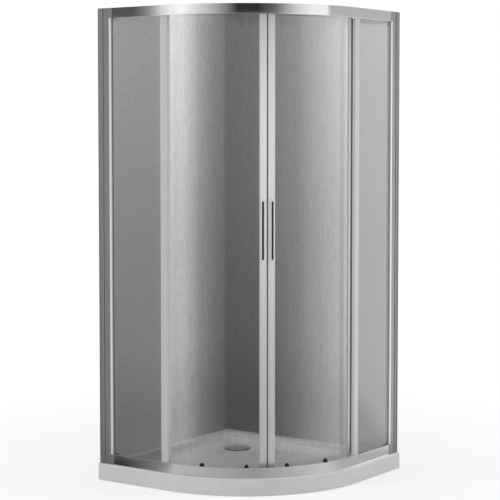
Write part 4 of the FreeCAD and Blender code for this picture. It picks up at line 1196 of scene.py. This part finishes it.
@dataclass(frozen=True)
class Studio:
    """White studio: floor, rings of soft light, lamps, backdrop and camera. Lengths are metres.

    Rows that go round the object give degrees from the front towards the right, and the share of the
    full light there: soft panels with dark flags between them.

    Attributes:
        ambient: Light of the white room on matt faces, level with them.
        ambient_top: The same from straight above.
        lamps: Lamps for matt faces.
        lamp_aim: Point that the lamps face.
        floor_radius: Radius of the floor.
        floor_steps: Facets of its edge.
        floor_drop: Room under the object, so that the floor doesn't cut its underside.
        floor_tone: Colour of the floor.
        floor_lift: Light added to the floor near the object so that it reads white.
        floor_fade: Distances between which the lit floor passes into plain white.
        floor_glow: Full light of the near floor in mirrors.
        floor_rows: Its share round the object.
        sheen_fade: Distances between which mirrors pass from the near floor to the far floor.
        ring_radius: Distance of the rings of light that shiny faces mirror.
        ring_steps: Facets of the rings.
        ring_split: Height at which the upper ring meets the lower one.
        ring_top: Height of the upper ring's upper edge.
        upper_glow: Full light of the upper ring, for the top rail.
        upper_rows: Its share round the object.
        low_glow: Full light of the lower ring.
        low_rows: Its share round the object.
        foot_rows: The same for its foot and for the far floor.
        foot_fade: Height at which the light of the foot has passed into that above it.
        corner_height: Height of the corner backdrop behind the glass.
        corner_reach: Length of each of its two walls.
        corner_glow: Full light of its walls.
        corner_rows: Millimetres from the corner, below zero on the left wall, and share of the light: painted
            shade.
        corner_levels: Share of the height, and share of the light there: painted shade, darker low down.
        camera_spot: Place of the camera.
        camera_yaw: Its turn in degrees.
        camera_pitch: Its tilt in degrees.
        camera_lens: Its focal length in millimetres.
        camera_sensor: Width of its sensor in millimetres.
        camera_shift: Its upright shift.
        camera_range: How far it sees.
    """

    ambient: float = 0.62
    ambient_top: float = 0.5
    lamps: tuple[SoftLamp, ...] = (
        SoftLamp("left_key", (-1.9, -3.0, 2.0), 19.0), SoftLamp("right_fill", (2.9, 1.7, 1.9), 14.0),
        SoftLamp("top_light", (0.2, -0.2, 4.2), 22.0, (2.4, 2.4)))
    lamp_aim: Spot = (0.0, 0.0, 0.9)
    floor_radius: float = 16.0
    floor_steps: int = 96
    floor_drop: float = 0.0005
    floor_tone: str = "#F0F0F0"
    floor_lift: float = 0.33
    floor_fade: Pair = (0.8, 2.4)
    floor_glow: float = 0.75
    floor_rows: Pairs = (
        (-180, 0.75), (-90, 0.3), (-45, 0.04), (-38, 0.06), (-28, 0.35), (-20, 0.85), (40, 0.55), (95, 1.0),
        (112, 0.75), (180, 0.75))
    sheen_fade: Pair = (0.9, 1.4)
    ring_radius: float = 3.6
    ring_steps: int = 180
    ring_split: float = 2.06
    ring_top: float = 3.4
    upper_glow: float = 1.25
    upper_rows: Pairs = (
        (-180, 0.5), (-90, 0.35), (-55, 0.05), (-37, 0.1), (-35, 0.9), (-20, 1.1), (0, 0.65), (28, 0.03),
        (45, 0.03), (60, 0.15), (80, 0.75), (95, 1.0), (107, 1.0), (111, 0.5), (180, 0.5))
    low_glow: float = 2.2
    low_rows: Pairs = (
        (-180, 0.35), (-42, 0.42), (-38, 0.3), (0, 0.24), (40, 0.36), (80, 0.6), (140, 0.62), (143, 1.0),
        (150, 1.0), (154, 0.4), (180, 0.35))
    foot_rows: Pairs = (
        (-180, 0.35), (-42, 0.36), (-40, 0.1), (-36, 0.25), (0, 0.15), (55, 0.15), (80, 0.45), (140, 0.62),
        (143, 1.0), (150, 1.0), (154, 0.4), (180, 0.35))
    foot_fade: float = 1.1
    corner_height: float = 2.0
    corner_reach: float = 0.9
    corner_glow: float = 0.98
    corner_rows: Pairs = (
        (-900, 0.75), (-520, 0.75), (-400, 0.93), (-320, 0.83), (-200, 0.42), (-100, 0.26), (-30, 0.2),
        (0, 0.13), (150, 0.14), (380, 0.24), (450, 0.39), (650, 0.72), (900, 0.8))
    corner_levels: Pairs = ((0.1, 0.45), (0.25, 0.62), (0.5, 0.7), (0.9, 1.0))
    camera_spot: Spot = (3.7550, -5.3763, 1.4476)
    camera_yaw: float = 34.987
    camera_pitch: float = -3.577
    camera_lens: float = 114.628
    camera_sensor: float = 36.0
    camera_shift: float = -0.05
    camera_range: float = 200.0

    def build(self) -> None:
        """Set up everything around the object."""
        self.make_floor()
        self.make_ring("upper_light_ring", (self.ring_split, self.ring_top), self.upper_glow, self.upper_rows,
                       self.upper_rows)
        self.make_ring("lower_light_ring", (0.0, self.ring_split), self.low_glow, self.low_rows,
                       self.foot_rows)
        self.make_corner()
        self.make_room()
        for lamp in self.lamps:
            self.make_lamp(lamp)
        self.make_camera()

    def glow_round(self, tree: bpy.types.NodeTree, rows: Pairs) -> bpy.types.NodeSocket:
        """Vary a light by its direction from the object.

        Args:
            tree: Node tree that gets the nodes.
            rows: Degrees from the front towards the right, and share of the full light there.

        Returns:
            The share.
        """
        place = add_node(tree, "ShaderNodeTexCoord").outputs["Object"]
        parts = add_node(tree, "ShaderNodeSeparateXYZ", {"Vector": place}).outputs
        front = add_node(tree, "ShaderNodeMath", {0: parts["Y"], 1: -1.0}, operation="MULTIPLY").outputs[0]
        turn = add_node(tree, "ShaderNodeMath", {0: parts["X"], 1: front}, operation="ARCTAN2").outputs[0]
        share = {"Value": turn, "From Min": -math.pi, "From Max": math.pi}
        place = add_node(tree, "ShaderNodeMapRange", share).outputs["Result"]
        stops = tuple((degrees / 360 + 0.5, glow) for degrees, glow in rows)
        return add_node(tree, "ShaderNodeValToRGB", {"Fac": place}, stops).outputs["Color"]

    def stage_piece(self, name: str, shape: bmesh.types.BMesh) -> bpy.types.Object:
        """Make a stage object with a bare node material.

        Args:
            name: Name of the object and its material.
            shape: Its mesh, which is freed.

        Returns:
            The object.
        """
        mesh = bpy.data.meshes.new(name)
        shape.to_mesh(mesh)
        shape.free()
        piece = bpy.data.objects.new(name, mesh)
        bpy.context.scene.collection.objects.link(piece)
        material = bpy.data.materials.new(name)
        material.use_nodes = True
        material.node_tree.nodes.clear()
        material.cycles.emission_sampling = "NONE"
        mesh.materials.append(material)
        return piece

    def make_floor(self) -> None:
        """Pale floor that reads white and keeps the shadow, and that metal mirrors more softly."""
        shape = bmesh.new()
        bmesh.ops.create_circle(shape, cap_ends=True, segments=self.floor_steps, radius=self.floor_radius)
        bmesh.ops.translate(shape, verts=shape.verts, vec=(0, 0, -self.floor_drop))
        tree = self.stage_piece("pale_floor", shape).active_material.node_tree
        place = add_node(tree, "ShaderNodeTexCoord").outputs["Object"]
        far = add_node(tree, "ShaderNodeVectorMath", {0: place}, operation="LENGTH").outputs["Value"]
        fades = []
        for start, end in (self.floor_fade, self.sheen_fade):
            reach = {"Value": far, "From Min": start, "From Max": end}
            fade = add_node(tree, "ShaderNodeMapRange", reach, interpolation_type="SMOOTHSTEP")
            fades.append(fade.outputs["Result"])
        seen = backdrop_rays(tree)
        matt = add_node(tree, "ShaderNodeBsdfDiffuse", {"Color": linear(self.floor_tone)}).outputs["BSDF"]
        sockets = {0: seen, 1: self.floor_lift}
        lift = add_node(tree, "ShaderNodeMath", sockets, operation="MULTIPLY").outputs[0]
        light = add_node(tree, "ShaderNodeEmission", {"Strength": lift}).outputs["Emission"]
        near = add_node(tree, "ShaderNodeAddShader", {0: matt, 1: light}).outputs["Shader"]
        white = add_node(tree, "ShaderNodeEmission", {"Strength": 1.0}).outputs["Emission"]
        shown = add_node(tree, "ShaderNodeMath", {0: fades[0], 1: seen}, operation="MULTIPLY").outputs[0]
        plain = add_node(tree, "ShaderNodeMixShader", {0: shown, 1: near, 2: white}).outputs["Shader"]
        sockets = {"Color": self.glow_round(tree, self.floor_rows), "Strength": self.floor_glow}
        close = add_node(tree, "ShaderNodeEmission", sockets).outputs["Emission"]
        sockets = {"Color": self.glow_round(tree, self.foot_rows), "Strength": self.low_glow}
        wide = add_node(tree, "ShaderNodeEmission", sockets).outputs["Emission"]
        sheen = add_node(tree, "ShaderNodeMixShader", {0: fades[1], 1: close, 2: wide}).outputs["Shader"]
        both = add_node(tree, "ShaderNodeMixShader", {0: mirrored_rays(tree), 1: plain, 2: sheen})
        add_node(tree, "ShaderNodeOutputMaterial", {"Surface": both.outputs["Shader"]})

    def make_ring(self, name: str, span: Pair, glow: float, rows: Pairs, foot: Pairs) -> None:
        """Ring of soft light and dark flags that only mirrors show.

        Args:
            name: Name of the ring.
            span: Height of its lower and upper edge.
            glow: The full light.
            rows: Share of the full light round the object.
            foot: Rows that it starts from at floor level.
        """
        low, high = span
        shape = bmesh.new()
        ring = bmesh.ops.create_circle(shape, cap_ends=False, segments=self.ring_steps,
                                       radius=self.ring_radius)
        bmesh.ops.translate(shape, verts=shape.verts, vec=(0, 0, low))
        edges = list({edge for vert in ring["verts"] for edge in vert.link_edges})
        rim = bmesh.ops.extrude_edge_only(shape, edges=edges)["geom"]
        raised = [item for item in rim if isinstance(item, bmesh.types.BMVert)]
        bmesh.ops.translate(shape, verts=raised, vec=(0, 0, high - low))
        piece = self.stage_piece(name, shape)
        piece.visible_camera = False
        piece.visible_diffuse = False
        piece.visible_shadow = False
        tree = piece.active_material.node_tree
        place = add_node(tree, "ShaderNodeTexCoord").outputs["Object"]
        height = add_node(tree, "ShaderNodeSeparateXYZ", {"Vector": place}).outputs["Z"]
        sockets = {"Value": height, "From Max": self.foot_fade}
        level = add_node(tree, "ShaderNodeMapRange", sockets).outputs["Result"]
        sockets = {MIX_SHARE: level, MIX_FIRST: self.glow_round(tree, foot),
                   MIX_SECOND: self.glow_round(tree, rows)}
        tone = add_node(tree, "ShaderNodeMix", sockets, data_type="RGBA").outputs[MIX_RESULT]
        light = add_node(tree, "ShaderNodeEmission", {"Color": tone, "Strength": glow}).outputs["Emission"]
        clear = add_node(tree, "ShaderNodeBsdfTransparent").outputs["BSDF"]
        shown = add_node(tree, "ShaderNodeMixShader", {0: mirrored_rays(tree), 1: clear, 2: light})
        add_node(tree, "ShaderNodeOutputMaterial", {"Surface": shown.outputs["Shader"]})

    def make_corner(self) -> None:
        """Backdrop of two walls that glow with painted shade, darkest where they meet and towards the floor.

        It shows through the glass and in the gloss of the tray, and it keeps light off the tray as walls do.
        """
        half = self.corner_reach / 2 - MM
        shape = bmesh.new()
        row = [shape.verts.new(spot) for spot in ((-half, -half, 0), (-half, half, 0), (half, half, 0))]
        foot = [shape.edges.new(pair) for pair in zip(row, row[1:])]
        raised = bmesh.ops.extrude_edge_only(shape, edges=foot)["geom"]
        top = [item for item in raised if isinstance(item, bmesh.types.BMVert)]
        bmesh.ops.translate(shape, verts=top, vec=(0, 0, self.corner_height))
        shape.normal_update()
        outward = [face for face in shape.faces if face.normal.dot(face.calc_center_median()) > 0]
        bmesh.ops.reverse_faces(shape, faces=outward)
        # Stage walls; their grey is painted shade
        corner = self.stage_piece("grey_corner", shape)
        corner.visible_shadow = False
        tree = corner.active_material.node_tree
        place = add_node(tree, "ShaderNodeTexCoord").outputs["Object"]
        # The sum of both plan axes is zero at the corner and grows along the walls
        along = add_node(tree, "ShaderNodeVectorMath", {0: place, 1: (1, 1, 0)}, operation="DOT_PRODUCT")
        full = self.corner_reach
        reach = {"Value": along.outputs["Value"], "From Min": -full, "From Max": full}
        share = add_node(tree, "ShaderNodeMapRange", reach).outputs["Result"]
        # Painted shade: the walls' light falls off towards the corner where they meet
        stops = tuple((far_mm * MM / self.corner_reach / 2 + 0.5, grey) for far_mm, grey in self.corner_rows)
        grey = add_node(tree, "ShaderNodeValToRGB", {"Fac": share}, stops).outputs["Color"]
        # Painted shade: the walls darken towards the floor
        height = add_node(tree, "ShaderNodeSeparateXYZ", {"Vector": place}).outputs["Z"]
        level = add_node(tree, "ShaderNodeMapRange", {"Value": height, "From Max": self.corner_height})
        sockets = {"Fac": level.outputs["Result"]}
        shade = add_node(tree, "ShaderNodeValToRGB", sockets, self.corner_levels).outputs["Color"]
        sockets = {MIX_SHARE: 1.0, MIX_FIRST: grey, MIX_SECOND: shade}
        mixed = add_node(tree, "ShaderNodeMix", sockets, data_type="RGBA", blend_type="MULTIPLY")
        sockets = {"Color": mixed.outputs[MIX_RESULT], "Strength": self.corner_glow}
        wall = add_node(tree, "ShaderNodeEmission", sockets)
        clear = add_node(tree, "ShaderNodeBsdfTransparent").outputs["BSDF"]
        path = add_node(tree, "ShaderNodeLightPath").outputs
        behind = add_node(tree, "ShaderNodeNewGeometry").outputs["Backfacing"]
        either = {0: path["Is Diffuse Ray"], 1: path["Is Glossy Ray"]}
        bounced = add_node(tree, "ShaderNodeMath", either, operation="MAXIMUM").outputs[0]
        sockets = {0: bounced, 1: behind}
        shown_to = add_node(tree, "ShaderNodeMath", sockets, operation="SUBTRACT", use_clamp=True).outputs[0]
        shown = add_node(tree, "ShaderNodeMixShader", {0: shown_to, 1: clear, 2: wall.outputs["Emission"]})
        add_node(tree, "ShaderNodeOutputMaterial", {"Surface": shown.outputs["Shader"]})

    def make_room(self) -> None:
        """White backdrop, and a lower even light on matt faces."""
        world = bpy.data.worlds.new("white_room")
        bpy.context.scene.world = world
        world.use_nodes = True
        tree = world.node_tree
        tree.nodes.clear()
        place = add_node(tree, "ShaderNodeTexCoord").outputs["Generated"]
        height = add_node(tree, "ShaderNodeSeparateXYZ", {"Vector": place}).outputs["Z"]
        soft = {"Value": height, "To Min": self.ambient, "To Max": self.ambient_top}
        even = add_node(tree, "ShaderNodeMapRange", soft).outputs["Result"]
        level = {"Value": backdrop_rays(tree), "To Min": even, "To Max": 1.0}
        strength = add_node(tree, "ShaderNodeMapRange", level).outputs["Result"]
        back = add_node(tree, "ShaderNodeBackground", {"Color": linear("#FFFFFF"), "Strength": strength})
        add_node(tree, "ShaderNodeOutputWorld", {"Surface": back.outputs["Background"]})

    def make_lamp(self, lamp: SoftLamp) -> None:
        """Hang a lamp. In mirrors the rings stand for it.

        Args:
            lamp: The lamp.
        """
        light = bpy.data.lights.new(lamp.name, "AREA")
        light.shape = "RECTANGLE"
        light.size, light.size_y = lamp.size
        light.energy = lamp.power
        holder = bpy.data.objects.new(lamp.name, light)
        holder.location = lamp.spot
        aim = Vector(self.lamp_aim) - Vector(lamp.spot)
        holder.rotation_euler = aim.to_track_quat("-Z", "Y").to_euler()
        holder.visible_camera = False
        holder.visible_glossy = False
        holder.visible_transmission = False
        bpy.context.scene.collection.objects.link(holder)

    def make_camera(self) -> None:
        """Camera at the viewing angle of the picture."""
        lens = bpy.data.cameras.new("camera")
        lens.lens = self.camera_lens
        lens.sensor_width = self.camera_sensor
        lens.shift_y = self.camera_shift
        lens.clip_end = self.camera_range
        camera = bpy.data.objects.new("camera", lens)
        camera.location = self.camera_spot
        tilt = math.radians(QUARTER_TURN + self.camera_pitch)
        camera.rotation_euler = (tilt, 0, math.radians(self.camera_yaw))
        bpy.context.scene.collection.objects.link(camera)
        bpy.context.scene.camera = camera


def dress_frame() -> None:
    """Give every frame node the finish of its slot."""
    for row in frame["record"]["subparts"]:
        node = frame["nodes"][row["node"]]
        finish = FINISH_OF_SLOT[row["material_slot"]]
        for start, own in FINISH_OF_NODE.items():
            if row["node"].startswith(start):
                finish = own
        for slot in node.material_slots:
            slot.material = finish.material()


def main() -> None:
    """Build and dress the enclosure, and report each piece."""
    logging.basicConfig(level=logging.INFO, format="%(message)s")
    bpy.context.scene.view_settings.view_transform = "Standard"
    dress_frame()
    parts: list[RailPair | WallSide | SlidingDoor | WasteSet] = [RailPair()]
    for side in Side:
        parts += [WallSide(side), SlidingDoor(side)]
    parts.append(WasteSet())
    for part in parts:
        for piece in part.build():
            LOG.info("%s: %d faces", piece.name, len(piece.data.polygons))
    Studio().build()


if __name__ == "__main__":
    main()
